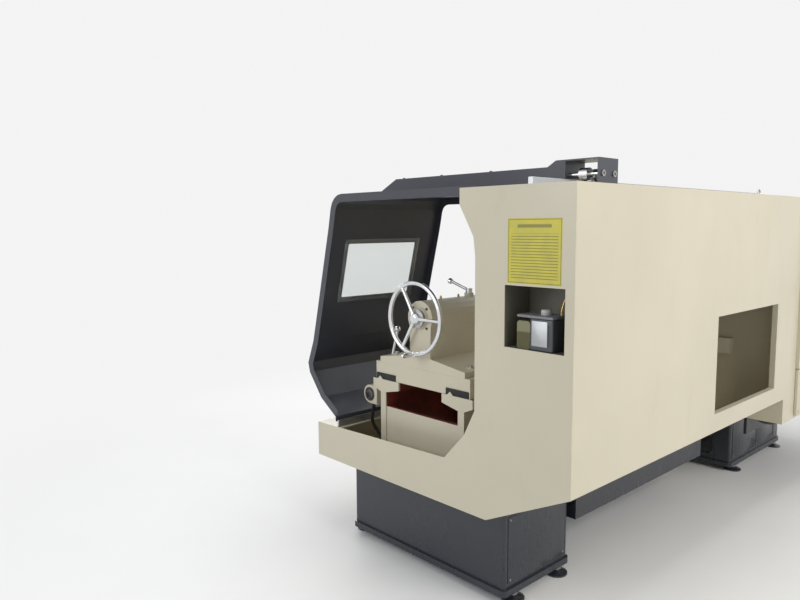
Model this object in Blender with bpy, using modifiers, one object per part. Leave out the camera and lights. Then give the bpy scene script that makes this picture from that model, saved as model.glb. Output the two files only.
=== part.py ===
"""A semi-enclosed flat-bed CNC turning lathe, in metres.

+X is the tailstock end, -X the headstock end, -Y the operator's side, +Y the rear, +Z up.
The origin is the middle of the floor under the machine.
"""

import math

import bmesh
import bpy
from mathutils import Matrix, Vector

for leftover in list(bpy.data.objects):
    bpy.data.objects.remove(leftover, do_unlink=True)

# Fits
GAP = 0.0003
SHEET = 0.003
PLAY = 0.003

# Overall
LENGTH = 3.36
WIDTH = 1.63
GUARD_TOP = 1.690
TAIL = LENGTH / 2
HEAD = -LENGTH / 2

# Doors and what stands proud of the rear face
LEAF_THICKNESS = 0.018
LATCH_PROUD = 0.0217
REAR = WIDTH / 2 - LEAF_THICKNESS - LATCH_PROUD - GAP
END_COVER_DEPTH = 0.20
FRAME_HEAD = HEAD + END_COVER_DEPTH + PLAY

# Spindle axis and ways
AXIS_SETBACK = 0.885
AXIS_Y = REAR - AXIS_SETBACK
TRAY_FLOOR = 0.380
BED_SEAT = TRAY_FLOOR + SHEET + GAP
BED_HEIGHT = 0.427
WAY_TOP = BED_SEAT + BED_HEIGHT
CENTRE_HEIGHT = 0.320
AXIS_Z = WAY_TOP + CENTRE_HEIGHT

# Stand
FOOT_HEIGHT = 0.030
FOOT_RADIUS = 0.050
STUD_RADIUS = 0.014
FOOT_INSET = 0.070
PEDESTAL_DEPTH = 0.955
PEDESTAL_BEHIND_AXIS = 0.520
PEDESTAL_WALL = 0.016
PEDESTAL_PLINTH = 0.010
PLINTH_HEIGHT = 0.028
PEDESTAL_ROUND = 0.014
TAIL_PEDESTAL_INSET = 0.090
TAIL_PEDESTAL_LENGTH = 0.450
HEAD_PEDESTAL_LENGTH = 0.820
WINDOW_MARGIN = 0.110
PEDESTAL_REAR = AXIS_Y + PEDESTAL_BEHIND_AXIS
PEDESTAL_FRONT = PEDESTAL_REAR - PEDESTAL_DEPTH

# Chip tray and coolant
TRAY_BEHIND_AXIS = 0.495
TRAY_INSET = 0.087
TRAY_BEFORE_AXIS = AXIS_Y + WIDTH / 2 - TRAY_INSET
TRAY_WALL = 0.170
TRAY_HEM = 0.012
TRAY_SHELF = 0.170
DRAIN_RADIUS = 0.045
TANK_DROP = 0.165
TANK_LENGTH = 1.340
TANK_DEPTH = 1.000
TANK_FLANGE = 0.030
TANK_BEHIND_AXIS = 0.560
PUMP_RADIUS = 0.060
PUMP_LENGTH = 0.190

# Bed
BED_WIDTH = 0.640
BED_INSET = 0.120
WAY_WIDTH = 0.180
WAY_THICKNESS = 0.060
VEE_HALF = 0.018
VEE_RISE = 0.016
VEE_INSET = 0.050
BED_WALL = 0.036
BED_WALL_INSET = 0.050
ARCH_RISE = 0.110
ARCH_ROUND = 0.080
BED_FOOT_THICKNESS = 0.028
RIB_THICKNESS = 0.022
RIB_TOP_DROP = 0.130
RIB_COUNT = 7

# Rear guard
GUARD_DEPTH = 0.450
GUARD_FOOT = 0.573
GUARD_SPLASH_FOOT = 0.700
GUARD_FLARE = 0.055
GUARD_FLARE_RISE = 0.110
ACCESS_FROM_TAIL = 1.180
ACCESS_LENGTH = 0.750
ACCESS_LOW = 0.660
ACCESS_HEIGHT = 0.460
ACCESS_FLANGE = 0.028
END_PANEL_NOSE = 0.083
NOSE_RISE = 0.190
TRAY_END_RISE = 0.200

# Pocket in the end panel, with the way lubricator
POCKET_INSET = 0.038
POCKET_WIDTH = 0.266
POCKET_LOW = 1.088
POCKET_HEIGHT = 0.234
POCKET_DEPTH = 0.160
LUBRICATOR_WIDTH = 0.100
LUBRICATOR_DEPTH = 0.110
LUBRICATOR_HEIGHT = 0.130
RESERVOIR_WIDTH = 0.060
RESERVOIR_HEIGHT = 0.105
CAP_RADIUS = 0.020
CAP_HEIGHT = 0.026

# Rails and hood
TOP_RAIL_BEHIND = 0.200
TOP_RAIL_WIDTH = 0.020
TOP_RAIL_HEIGHT = 0.025
HOOD_LENGTH = 0.740
HOOD_INSET = 0.006
HOOD_STEP = 0.006
HOOD_REAR_GAP = 0.012
HOOD_FLANGE = 0.038
HOOD_LIP = 0.035
HOOD_CORNER = 0.085
HOOD_FOOT = 0.601
HOOD_GUIDE = 0.024
BOTTOM_RAIL_WIDTH = 0.010
BOTTOM_RAIL_HEIGHT = 0.036
BOTTOM_RAIL_CLEARANCE = 0.007
BEAM_WIDTH = 0.140
BEAM_HEIGHT = 0.080
BEAM_FROM_END = 0.330
BEAM_FRONT_INSET = 0.215
BEAM_NOSE_LENGTH = 0.105
BEAM_NOSE_DROP = 0.052
BEAM_NOSE_ROUND = 0.012
BRACKET_RISE = 0.024
BRACKET_SLOPE = 0.040
BRACKET_SHELF = 0.045
BRACKET_CHEEK = 0.006
BRACKET_HALF = 0.075
ROLLER_RADIUS = 0.025
ROLLER_HALF_WIDTH = 0.018
ROLLER_PITCH = 0.080
AXLE_RADIUS = 0.008
# Hood outline as (distance in from its front, share of its height above its foot)
HOOD_OUTLINE = (
    (0.192, 0.855),
    (0.083, 0.455),
    (0.048, 0.330),
    (0.000, 0.222),
    (0.013, 0.177),
    (0.108, 0.070),
)
HOOD_FOOT_INSET = 0.225
WINDOW_WIDTH = 0.480
WINDOW_HEIGHT = 0.300
PANE_LAP = 0.016
PANE_THICKNESS = 0.005
HANDLE_RADIUS = 0.011
HANDLE_HEIGHT = 0.320
HANDLE_STANDOFF = 0.045
HANDLE_FROM_EDGE = 0.070

# Electrical cabinet
CABINET_DEPTH = 0.400
CABINET_FOOT = 0.430
CABINET_SHELF = 0.720
CABINET_FRAME = 0.030
LEAF_FROM_TAIL = 0.170
LEAF_MARGIN = 0.055
HINGE_RADIUS = 0.008
KNUCKLE = 0.060
HINGE_SPREAD = 0.260
LATCH_RADIUS = 0.022
GEAR_STANDOFF = 0.012
GEAR_EDGE = 0.030
DRIVE_DROP = 0.340
BREAKER_DROP = 0.320
JUNCTION_DEPTH = 0.055
JUNCTION_WIDTH = 0.088
JUNCTION_FROM_REAR = 0.281
JUNCTION_LOW = 0.800

# Headstock and spindle
HEADSTOCK_LENGTH = 0.890
HEADSTOCK_INSET = 0.010
HEADSTOCK_WIDTH = BED_WIDTH - 2 * HEADSTOCK_INSET
HEADSTOCK_RISE = 0.270
HEADSTOCK_ROUND = 0.050
BEARING_CAP_RADIUS = 0.125
BEARING_CAP_LENGTH = 0.030
SPINDLE_RADIUS = 0.055
SPINDLE_PLAY = 0.0008
SPINDLE_BORE = 0.026
NOSE_RADIUS = 0.090
NOSE_LENGTH = 0.055
CHUCK_RADIUS = 0.125
CHUCK_LENGTH = 0.110
JAW_WIDTH = 0.030
JAW_SEAT = 0.022
JAW_INNER = 0.034
JAW_OUTER = 0.112
PULLEY_RADIUS = 0.140
PULLEY_LENGTH = 0.075
MOTOR_PULLEY_RADIUS = 0.070
GROOVE_DEPTH = 0.012
GROOVE_WIDTH = 0.013
BELT_WIDTH = 0.012
BELT_THICKNESS = 0.010
BELT_BAND = 0.003
BELT_COUNT = 3
BELT_PITCH = 0.020
PULLEY_FROM_FRAME = 0.045

# Main motor
MOTOR_BEHIND_AXIS = 0.660
MOTOR_HEIGHT = 0.420
MOTOR_RADIUS = 0.125
MOTOR_LENGTH = 0.430
MOTOR_FROM_FRAME = 0.240
MOTOR_SHAFT_RADIUS = 0.019
FIN_COUNT = 28
FIN_DEPTH = 0.010
MOTOR_FOOT = 0.030

# Head cover and end cover
COVER_PAST_HEADSTOCK = 0.171
HEAD_COVER_BEFORE_AXIS = 0.515
HEAD_COVER_TOP = 1.620
HEAD_COVER_ROUND = 0.060
CHUCK_OPENING = 0.150
SPINDLE_OPENING = 0.068
END_COVER_REAR_INSET = 0.105
END_COVER_WIDTH = 1.150
END_COVER_LOW = 0.320
END_COVER_HIGH = 1.430
END_COVER_ROUND = 0.036

# Control box
CONTROL_FROM_TAIL = 2.180
CONTROL_LENGTH = 0.600
CONTROL_DEPTH = 0.140
CONTROL_LOW = 1.000
CONTROL_HEIGHT = 0.520
CONTROL_ROUND = 0.012
SCREEN_WIDTH = 0.230
SCREEN_HEIGHT = 0.175
SCREEN_RECESS = 0.006
KEYPAD_WIDTH = 0.200
BUTTON_PROUD = 0.009
BUTTON_TRAVEL = 0.004
BUTTON_RADIUS = 0.011
BUTTON_PITCH = 0.060
STOP_RADIUS = 0.020
STOP_TRAVEL = 0.006
STEM_RADIUS = 0.008
KNOB_RADIUS = 0.018
DIAL_RADIUS = 0.036

# Carriage
CARRIAGE_FROM_TAIL = 1.620
SADDLE_LENGTH = 0.420
SADDLE_THICKNESS = 0.085
SADDLE_REAR_OVERHANG = 0.025
SADDLE_WING = 0.110
SADDLE_TONGUE = 0.140
TONGUE_THICKNESS = 0.045
X_SERVO_LENGTH = 0.135
WING_DROP = 0.010
WING_GAP = 0.004
APRON_LENGTH = 0.300
APRON_HEIGHT = 0.170
DOVETAIL_TOP = 0.210
DOVETAIL_BOTTOM = 0.180
DOVETAIL_HEIGHT = 0.022
CROSS_SLIDE_WIDTH = 0.260
CROSS_SLIDE_LENGTH = 0.360
CROSS_SLIDE_HEIGHT = 0.055
CROSS_SLIDE_FRONT = 0.320
SLOT_FROM_MIDDLE = 0.115
SLOT_WIDTH = 0.014
SLOT_DEPTH = 0.012
CHANNEL_HALF = 0.025
X_SCREW_RADIUS = 0.010
X_SCREW_DROP = 0.008
CHANNEL_DEPTH = 0.030
NUT_LENGTH = 0.060
SERVO_SIDE = 0.110
SERVO_LENGTH = 0.170
TURRET_SIDE = 0.200
TURRET_BEFORE_AXIS = 0.210
TURRET_HEAD_HEIGHT = 0.110
TOOL_SIDE = 0.025
TOOL_LENGTH = 0.150
TOOL_OVERHANG = 0.035
TOOL_SLOT_DEPTH = 0.034

# Z screw
Z_SCREW_RADIUS = 0.020
Z_SCREW_BEFORE_BED = 0.052
Z_SCREW_DROP = 0.096
Z_BRACKET_LENGTH = 0.050
Z_BRACKET_ROUND = 0.046
Z_BRACKET_FROM_TAIL = 0.140
Z_SCREW_END = 2.350
CONDUIT_RADIUS = 0.009

# Tailstock
WHEEL_FROM_TAIL = 0.090
WHEEL_RADIUS = 0.160
RIM_RADIUS = 0.011
WHEEL_HUB_RADIUS = 0.028
SPOKE_RADIUS = 0.009
SPOKE_COUNT = 3
GRIP_RADIUS = 0.012
GRIP_LENGTH = 0.066
TAIL_BODY_FROM_TAIL = 0.125
TAIL_BODY_LENGTH = 0.400
TAIL_BASE_HEIGHT = 0.085
TAIL_BASE_INSET = 0.018
TAIL_BASE_WIDTH = BED_WIDTH - 2 * TAIL_BASE_INSET
BARREL_RADIUS = 0.078
BARREL_WALL_LENGTH = 0.040
TAIL_NECK = 0.210
QUILL_RADIUS = 0.0375
QUILL_LENGTH = 0.370
QUILL_OUT = 0.030
FEED_SCREW_RADIUS = 0.015
FEED_SCREW_LENGTH = 0.255
CENTRE_RADIUS = 0.027
CENTRE_BODY = 0.050
CENTRE_SHANK_RADIUS = 0.012
CENTRE_SHANK = 0.055
LEVER_HUB_RADIUS = 0.016
LEVER_LENGTH = 0.120
CLAMP_LENGTH = 0.190
LEVER_ROD = 0.007
LEVER_BALL = 0.015

# The guard starts where the head cover ends
GUARD_LENGTH = TAIL - FRAME_HEAD - PEDESTAL_WALL - HEADSTOCK_LENGTH - COVER_PAST_HEADSTOCK

PARTS = bpy.data.collections.new("cnc_turning_lathe")
CUTTERS = bpy.data.collections.new("cutters")
bpy.context.scene.collection.children.link(PARTS)
bpy.context.scene.collection.children.link(CUTTERS)

CREAM = ((0.71, 0.66, 0.53), 0.42, 0.0)
CHARCOAL = ((0.045, 0.048, 0.062), 0.38, 0.0)
BLACK = ((0.018, 0.018, 0.020), 0.50, 0.0)
GROUND = ((0.56, 0.57, 0.58), 0.22, 1.0)
CHROME = ((0.72, 0.73, 0.74), 0.10, 1.0)
CAST = ((0.30, 0.31, 0.31), 0.55, 0.6)
GALVANISED = ((0.42, 0.43, 0.44), 0.45, 0.8)
DARK_GREY = ((0.060, 0.062, 0.066), 0.45, 0.0)
RED = ((0.55, 0.02, 0.02), 0.35, 0.0)
GREEN = ((0.02, 0.28, 0.06), 0.35, 0.0)
OLIVE = ((0.22, 0.20, 0.07), 0.25, 0.0)
RUBBER = ((0.020, 0.020, 0.020), 0.80, 0.0)
GLASS = ((0.60, 0.66, 0.66), 0.08, 0.0)

SMOOTH_ANGLE = math.radians(32)
BOOLEAN_REACH = 0.002
FULL_TURN = 2 * math.pi
ROUND_STEPS = 4
SIDES = 24

AXIS_TURN = {
    "X": (0, math.pi / 2, 0),
    "Y": (-math.pi / 2, 0, 0),
    "Z": (0, 0, 0),
}
PLANE = {
    "YZ": (Matrix(((0, 0, 1), (1, 0, 0), (0, 1, 0))), Vector((1, 0, 0))),
    "XZ": (Matrix(((1, 0, 0), (0, 0, -1), (0, 1, 0))), Vector((0, 1, 0))),
    "XY": (Matrix.Identity(3), Vector((0, 0, 1))),
}


def helper(mesh, name="helper"):
    """An object that only serves to make others, until part() takes it."""
    obj = bpy.data.objects.new(name, mesh)
    CUTTERS.objects.link(obj)
    obj.hide_render = True
    obj.display_type = "WIRE"
    return obj


def part(name, obj, finish, origin=None):
    """Takes a finished shape into the machine, with its own material and its origin at a given point."""
    colour, roughness, metallic = finish
    material = bpy.data.materials.new(name)
    material.diffuse_color = (*colour, 1.0)
    material.use_nodes = True
    shader = material.node_tree.nodes["Principled BSDF"]
    shader.inputs["Base Color"].default_value = (*colour, 1.0)
    shader.inputs["Roughness"].default_value = roughness
    shader.inputs["Metallic"].default_value = metallic
    obj.data.materials.clear()
    obj.data.materials.append(material)
    CUTTERS.objects.unlink(obj)
    PARTS.objects.link(obj)
    obj.name = name
    obj.hide_render = False
    obj.display_type = "TEXTURED"
    if origin is not None:
        origin = Vector(origin)
        obj.data.transform(Matrix.Translation(-origin))
        obj.location = origin
    if not obj.modifiers or obj.modifiers[0].type != "SCREW":
        obj.data.shade_smooth()
        obj.data.set_sharp_from_angle(angle=SMOOTH_ANGLE)
    return obj


def box(x, y, z, round_edges=0.0):
    """A box between pairs of limits, given in any order."""
    low = Vector([min(pair) for pair in (x, y, z)])
    high = Vector([max(pair) for pair in (x, y, z)])
    mesh = bpy.data.meshes.new("box")
    bm = bmesh.new()
    bmesh.ops.create_cube(bm, size=1, matrix=Matrix.LocRotScale((low + high) / 2, None, high - low))
    bm.to_mesh(mesh)
    bm.free()
    obj = helper(mesh)
    if round_edges:
        bevel(obj, round_edges)
    return obj


def bevel(obj, width, segments=2):
    modifier = obj.modifiers.new("round_edges", "BEVEL")
    modifier.width = width
    modifier.segments = segments
    modifier.limit_method = "ANGLE"
    modifier.angle_limit = math.radians(40)
    return obj


def cylinder(radius, axis, start, length, sides=SIDES):
    """A cylinder that runs from a point along +axis, or the other way where the length is negative."""
    mesh = bpy.data.meshes.new("cylinder")
    bm = bmesh.new()
    bmesh.ops.create_cone(
        bm, cap_ends=True, segments=sides, radius1=radius, radius2=radius, depth=abs(length)
    )
    bm.to_mesh(mesh)
    bm.free()
    turn = Matrix.Rotation(math.pi / 2, 4, "Y") if axis == "X" else Matrix.Identity(4)
    if axis == "Y":
        turn = Matrix.Rotation(-math.pi / 2, 4, "X")
    middle = Vector(start) + PLANE_NORMAL[axis] * (length / 2)
    mesh.transform(Matrix.Translation(middle) @ turn)
    return helper(mesh)


PLANE_NORMAL = {"X": Vector((1, 0, 0)), "Y": Vector((0, 1, 0)), "Z": Vector((0, 0, 1))}


def turned(profile, axis, centre, sides=SIDES, closed=False):
    """A profile of (radius, place along the axis) turned about it, its outside written top to bottom."""
    links = [(i, i + 1) for i in range(len(profile) - 1)]
    if closed:
        links.append((len(profile) - 1, 0))
    mesh = bpy.data.meshes.new("turned")
    mesh.from_pydata([(radius, 0, along) for radius, along in profile], links, [])
    obj = helper(mesh)
    obj.location = centre
    obj.rotation_euler = AXIS_TURN[axis]
    screw = obj.modifiers.new("turn", "SCREW")
    screw.steps = sides
    screw.render_steps = sides
    screw.use_merge_vertices = True
    screw.merge_threshold = 0.0001
    return obj


def plate(plane, span, *loops):
    """A flat outline, with any holes in it, drawn out over a span along the normal of its plane."""
    turn, normal = PLANE[plane]
    curve = bpy.data.curves.new("outline", "CURVE")
    curve.dimensions = "2D"
    curve.fill_mode = "BOTH"
    curve.extrude = abs(span[1] - span[0]) / 2
    for loop in loops:
        spline = curve.splines.new("POLY")
        spline.points.add(len(loop) - 1)
        for point, (u, v) in zip(spline.points, loop):
            point.co = (u, v, 0, 1)
        spline.use_cyclic_u = True
    obj = bpy.data.objects.new("outline", curve)
    CUTTERS.objects.link(obj)
    obj.matrix_world = Matrix.Translation(normal * sum(span) / 2) @ turn.to_4x4()
    return meshed(obj)


def meshed(curve_object):
    """The mesh of a curve object, with its caps joined to its sides."""
    bpy.context.view_layer.update()
    graph = bpy.context.evaluated_depsgraph_get()
    mesh = bpy.data.meshes.new_from_object(curve_object.evaluated_get(graph))
    mesh.transform(curve_object.matrix_world)
    bm = bmesh.new()
    bm.from_mesh(mesh)
    bmesh.ops.remove_doubles(bm, verts=bm.verts, dist=0.00001)
    bmesh.ops.recalc_face_normals(bm, faces=bm.faces)
    bm.to_mesh(mesh)
    bm.free()
    bpy.data.objects.remove(curve_object, do_unlink=True)
    return helper(mesh)


def tube(points, radius, rings=2):
    """A round bar or hose along its points."""
    curve = bpy.data.curves.new("route", "CURVE")
    curve.dimensions = "3D"
    curve.bevel_depth = radius
    curve.bevel_resolution = rings
    curve.use_fill_caps = True
    spline = curve.splines.new("POLY")
    spline.points.add(len(points) - 1)
    for point, place in zip(spline.points, points):
        point.co = (*place, 1)
    obj = bpy.data.objects.new("route", curve)
    CUTTERS.objects.link(obj)
    return meshed(obj)


def folded(plane, span, points, side):
    """Sheet metal bent along an open outline: side is where its thickness goes, seen along the run."""
    turn, normal = PLANE[plane]
    mesh = bpy.data.meshes.new("folded")
    bm = bmesh.new()
    rows = []
    for along in span:
        place = normal * along
        rows.append([bm.verts.new(place + turn @ Vector((u, v, 0))) for u, v in points])
    for index in range(len(points) - 1):
        bm.faces.new((rows[0][index], rows[0][index + 1], rows[1][index + 1], rows[1][index]))
    bm.to_mesh(mesh)
    bm.free()
    obj = helper(mesh)
    solidify = obj.modifiers.new("sheet", "SOLIDIFY")
    solidify.thickness = SHEET
    solidify.offset = {"left": -1, "right": 1}[side]
    solidify.use_even_offset = True
    return obj


def combine(target, others, operation):
    for other in others:
        modifier = target.modifiers.new(operation.lower(), "BOOLEAN")
        modifier.operation = operation
        modifier.solver = "EXACT"
        modifier.object = other
    return target


def cut(target, *others):
    return combine(target, others, "DIFFERENCE")


def join(target, *others):
    return combine(target, others, "UNION")


def baked(obj):
    """The shape as its modifiers leave it, as a plain mesh in world coordinates."""
    bpy.context.view_layer.update()
    graph = bpy.context.evaluated_depsgraph_get()
    mesh = bpy.data.meshes.new_from_object(obj.evaluated_get(graph))
    mesh.transform(obj.matrix_world)
    return helper(mesh)


def rounded(corners, steps=ROUND_STEPS):
    """An outline from corners (u, v, radius), with an arc at each corner that has a radius."""
    points = []
    for index, (u, v, radius) in enumerate(corners):
        here = Vector((u, v))
        if not radius:
            points.append((u, v))
            continue
        back = (Vector(corners[index - 1][:2]) - here).normalized()
        ahead = (Vector(corners[(index + 1) % len(corners)][:2]) - here).normalized()
        half = back.angle(ahead) / 2
        centre = here + (back + ahead).normalized() * (radius / math.sin(half))
        first = here + back * (radius / math.tan(half)) - centre
        last = here + ahead * (radius / math.tan(half)) - centre
        sweep = first.angle_signed(last)
        start = math.atan2(first.y, first.x)
        for step in range(steps + 1):
            turn = start - sweep * step / steps
            points.append((centre.x + radius * math.cos(turn), centre.y + radius * math.sin(turn)))
    return points


def rectangle(u, v, radius=0.0):
    low_u, high_u, low_v, high_v = min(u), max(u), min(v), max(v)
    return rounded(
        (
            (low_u, low_v, radius),
            (high_u, low_v, radius),
            (high_u, high_v, radius),
            (low_u, high_v, radius),
        )
    )


def circle(u, v, radius, sides=SIDES):
    angles = [FULL_TURN * step / sides for step in range(sides)]
    return [(u + radius * math.cos(a), v + radius * math.sin(a)) for a in angles]


def from_tail(distance):
    return TAIL - distance


def way_line(lift):
    """The tops of the ways from the rear to the front, raised by a clearance: each has a flat and a vee."""
    rear = AXIS_Y + BED_WIDTH / 2
    front = AXIS_Y - BED_WIDTH / 2
    points = [(rear, WAY_TOP + lift)]
    for vee in (rear - WAY_WIDTH + VEE_INSET, front + VEE_INSET):
        points.append((vee + VEE_HALF, WAY_TOP + lift))
        points.append((vee, WAY_TOP + VEE_RISE + lift))
        points.append((vee - VEE_HALF, WAY_TOP + lift))
    points.append((front, WAY_TOP + lift))
    return points


def pedestal(name, x_low, x_high, window_side):
    """A cast pedestal, open below, with a plinth round its foot and a cored window in one end."""
    y = (PEDESTAL_REAR, PEDESTAL_FRONT)
    top = TRAY_FLOOR - GAP
    outline = rectangle((x_low, x_high), y, PEDESTAL_ROUND)
    plinth = rectangle(
        (x_low - PEDESTAL_PLINTH, x_high + PEDESTAL_PLINTH),
        (y[0] + PEDESTAL_PLINTH, y[1] - PEDESTAL_PLINTH),
        PEDESTAL_ROUND + PEDESTAL_PLINTH,
    )
    body = plate("XY", (FOOT_HEIGHT + PLINTH_HEIGHT / 2, top), outline)
    base = plate("XY", (FOOT_HEIGHT, FOOT_HEIGHT + PLINTH_HEIGHT), plinth)
    core_x = (x_low + PEDESTAL_WALL, x_high - PEDESTAL_WALL)
    core_y = (y[0] - PEDESTAL_WALL, y[1] + PEDESTAL_WALL)
    core = box(core_x, core_y, (0, top - PEDESTAL_WALL))
    end = {"tail": x_high, "head": x_low}[window_side]
    window = plate(
        "YZ",
        (end - 2 * PEDESTAL_WALL, end + 2 * PEDESTAL_WALL),
        rectangle(
            (y[0] - WINDOW_MARGIN, y[1] + WINDOW_MARGIN),
            (FOOT_HEIGHT + PLINTH_HEIGHT + PEDESTAL_WALL * 2, top - PEDESTAL_WALL * 4),
            PEDESTAL_ROUND * 2,
        ),
    )
    shape = cut(join(body, base), core, window)
    part(name, join(shape, *levelling_feet(x_low, x_high)), BLACK)


def levelling_feet(x_low, x_high):
    """The four levelling feet of a pedestal, their studs screwed up into its plinth."""
    feet = []
    profile = (
        (0, FOOT_HEIGHT + PLAY),
        (STUD_RADIUS, FOOT_HEIGHT + PLAY),
        (STUD_RADIUS, FOOT_HEIGHT * 0.66),
        (FOOT_RADIUS * 0.55, FOOT_HEIGHT * 0.5),
        (FOOT_RADIUS, FOOT_HEIGHT * 0.25),
        (FOOT_RADIUS, 0),
        (0, 0),
    )
    for x in (x_low + FOOT_INSET, x_high - FOOT_INSET):
        for y in (PEDESTAL_REAR - PEDESTAL_WALL / 2, PEDESTAL_FRONT + PEDESTAL_WALL / 2):
            feet.append(turned(profile, "Z", (x, y, 0), 16))
    return feet


def chip_tray():
    rear = AXIS_Y + TRAY_BEHIND_AXIS
    front = AXIS_Y - TRAY_BEFORE_AXIS
    top = TRAY_FLOOR + TRAY_WALL
    span = (FRAME_HEAD, TAIL - SHEET - GAP)
    run = (
        (rear, TRAY_FLOOR + TRAY_HEM),
        (rear, TRAY_FLOOR),
        (front, TRAY_FLOOR),
        (front, top),
        (front + TRAY_SHELF, top),
    )
    sheet = folded("YZ", span, run, "right")
    head_wall = box(
        (FRAME_HEAD, FRAME_HEAD + SHEET),
        (REAR - CABINET_DEPTH - GAP, front + SHEET / 2),
        (TRAY_FLOOR + SHEET / 2, top - SHEET * 2),
    )
    drain_y = rear - 2 * DRAIN_RADIUS
    drain = cylinder(DRAIN_RADIUS, "Z", (tank_middle(), drain_y, TRAY_FLOOR - SHEET), 3 * SHEET)
    part("chip_tray", cut(join(sheet, head_wall), drain), CREAM)


def tank_span():
    tail = from_tail(TAIL_PEDESTAL_INSET + TAIL_PEDESTAL_LENGTH + 2 * PEDESTAL_PLINTH)
    return tail - TANK_LENGTH, tail


def tank_middle():
    return sum(tank_span()) / 2


def coolant_tank():
    """An open pan hung by its flange under the tray."""
    x_low, x_high = tank_span()
    rear = AXIS_Y + TANK_BEHIND_AXIS
    front = rear - TANK_DEPTH
    top = TRAY_FLOOR - GAP
    low = top - TANK_DROP
    inner_x = (x_low + TANK_FLANGE, x_high - TANK_FLANGE)
    inner_y = (rear - TANK_FLANGE, front + TANK_FLANGE)
    body = box(inner_x, inner_y, (low, top))
    flange = box((x_low, x_high), (rear, front), (top - SHEET, top))
    hollow = box(
        (inner_x[0] + SHEET, inner_x[1] - SHEET),
        (inner_y[0] - SHEET, inner_y[1] + SHEET),
        (low + SHEET, top + SHEET),
    )
    part("coolant_tank", cut(join(body, flange), hollow), BLACK)
    end = inner_x[0]
    centre = (end - GAP, AXIS_Y, low + TANK_DROP / 2)
    flange_radius = PUMP_RADIUS * 1.2
    pump = turned(
        (
            (0, 0),
            (flange_radius, 0),
            (flange_radius, -0.012),
            (PUMP_RADIUS, -0.014),
            (PUMP_RADIUS, -PUMP_LENGTH * 0.7),
            (PUMP_RADIUS * 0.85, -PUMP_LENGTH * 0.75),
            (PUMP_RADIUS * 0.85, -PUMP_LENGTH),
            (0, -PUMP_LENGTH),
        ),
        "X",
        centre,
    )
    part("coolant_pump", pump, DARK_GREY)


def bed_span():
    return FRAME_HEAD + PEDESTAL_WALL, from_tail(BED_INSET)


def bed_casting():
    """Two ways on two arched walls, tied by cross ribs, with broad feet under both ends."""
    head, tail = bed_span()
    rear = AXIS_Y + BED_WIDTH / 2
    front = AXIS_Y - BED_WIDTH / 2
    line = way_line(0)
    low = WAY_TOP - WAY_THICKNESS
    taper = WAY_THICKNESS / 3
    rear_way = [*line[:4], (rear - WAY_WIDTH, WAY_TOP), (rear - WAY_WIDTH, low + taper)]
    rear_way += [(rear - BED_WALL_INSET - BED_WALL - SHEET, low), (rear - BED_WALL_INSET + SHEET, low)]
    rear_way.append((rear, low + taper))
    front_way = [(front + WAY_WIDTH, low + taper), (front + WAY_WIDTH, WAY_TOP)]
    front_way += [*line[4:], (front, low + taper)]
    front_way += [(front + BED_WALL_INSET - SHEET, low), (front + BED_WALL_INSET + BED_WALL + SHEET, low)]
    shape = plate("YZ", (head, tail), rear_way)
    pieces = [plate("YZ", (head, tail), front_way)]
    head_foot = from_tail(GUARD_LENGTH) - WAY_WIDTH
    tail_foot = from_tail(TAIL_PEDESTAL_INSET + TAIL_PEDESTAL_LENGTH)
    under = BED_SEAT + ARCH_RISE
    base = BED_SEAT + SHEET
    wall_outline = rounded(
        (
            (head + SHEET, base, 0),
            (head_foot, base, 0),
            (head_foot + ARCH_RISE / 2, under, ARCH_ROUND),
            (tail_foot - ARCH_RISE / 2, under, ARCH_ROUND),
            (tail_foot, base, 0),
            (tail - SHEET, base, 0),
            (tail - SHEET, low + taper / 2, 0),
            (head + SHEET, low + taper / 2, 0),
        )
    )
    for outer in (rear - BED_WALL_INSET, front + BED_WALL_INSET + BED_WALL):
        pieces.append(plate("XZ", (outer - BED_WALL, outer), wall_outline))
    rib_top = WAY_TOP - RIB_TOP_DROP
    rib_y = (rear - BED_WALL_INSET - BED_WALL / 2, front + BED_WALL_INSET + BED_WALL / 2)
    first, last = head + 3 * SHEET, tail - 3 * SHEET - RIB_THICKNESS
    for index in range(RIB_COUNT):
        x = first + (last - first) * index / (RIB_COUNT - 1)
        on_foot = x < head_foot or x > tail_foot
        bottom = base + SHEET if on_foot else under + SHEET
        pieces.append(box((x, x + RIB_THICKNESS), rib_y, (bottom, rib_top)))
    for x in ((head, head_foot + SHEET), (tail_foot - SHEET, tail)):
        pieces.append(box(x, (rear, front), (BED_SEAT, BED_SEAT + BED_FOOT_THICKNESS)))
    return join(shape, *pieces)


def bed():
    """The bed's two lengths, bolted face to face at the middle of their middle rib."""
    head, tail = bed_span()
    joint = (head + tail) / 2
    y = (AXIS_Y - BED_WIDTH, AXIS_Y + BED_WIDTH)
    for name, x in (
        ("bed_head", (head - SHEET, joint - GAP / 2)),
        ("bed", (joint + GAP / 2, tail + SHEET)),
    ):
        length = box(x, y, (TRAY_FLOOR, AXIS_Z))
        part(name, combine(bed_casting(), [length], "INTERSECT"), CREAM)


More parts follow.
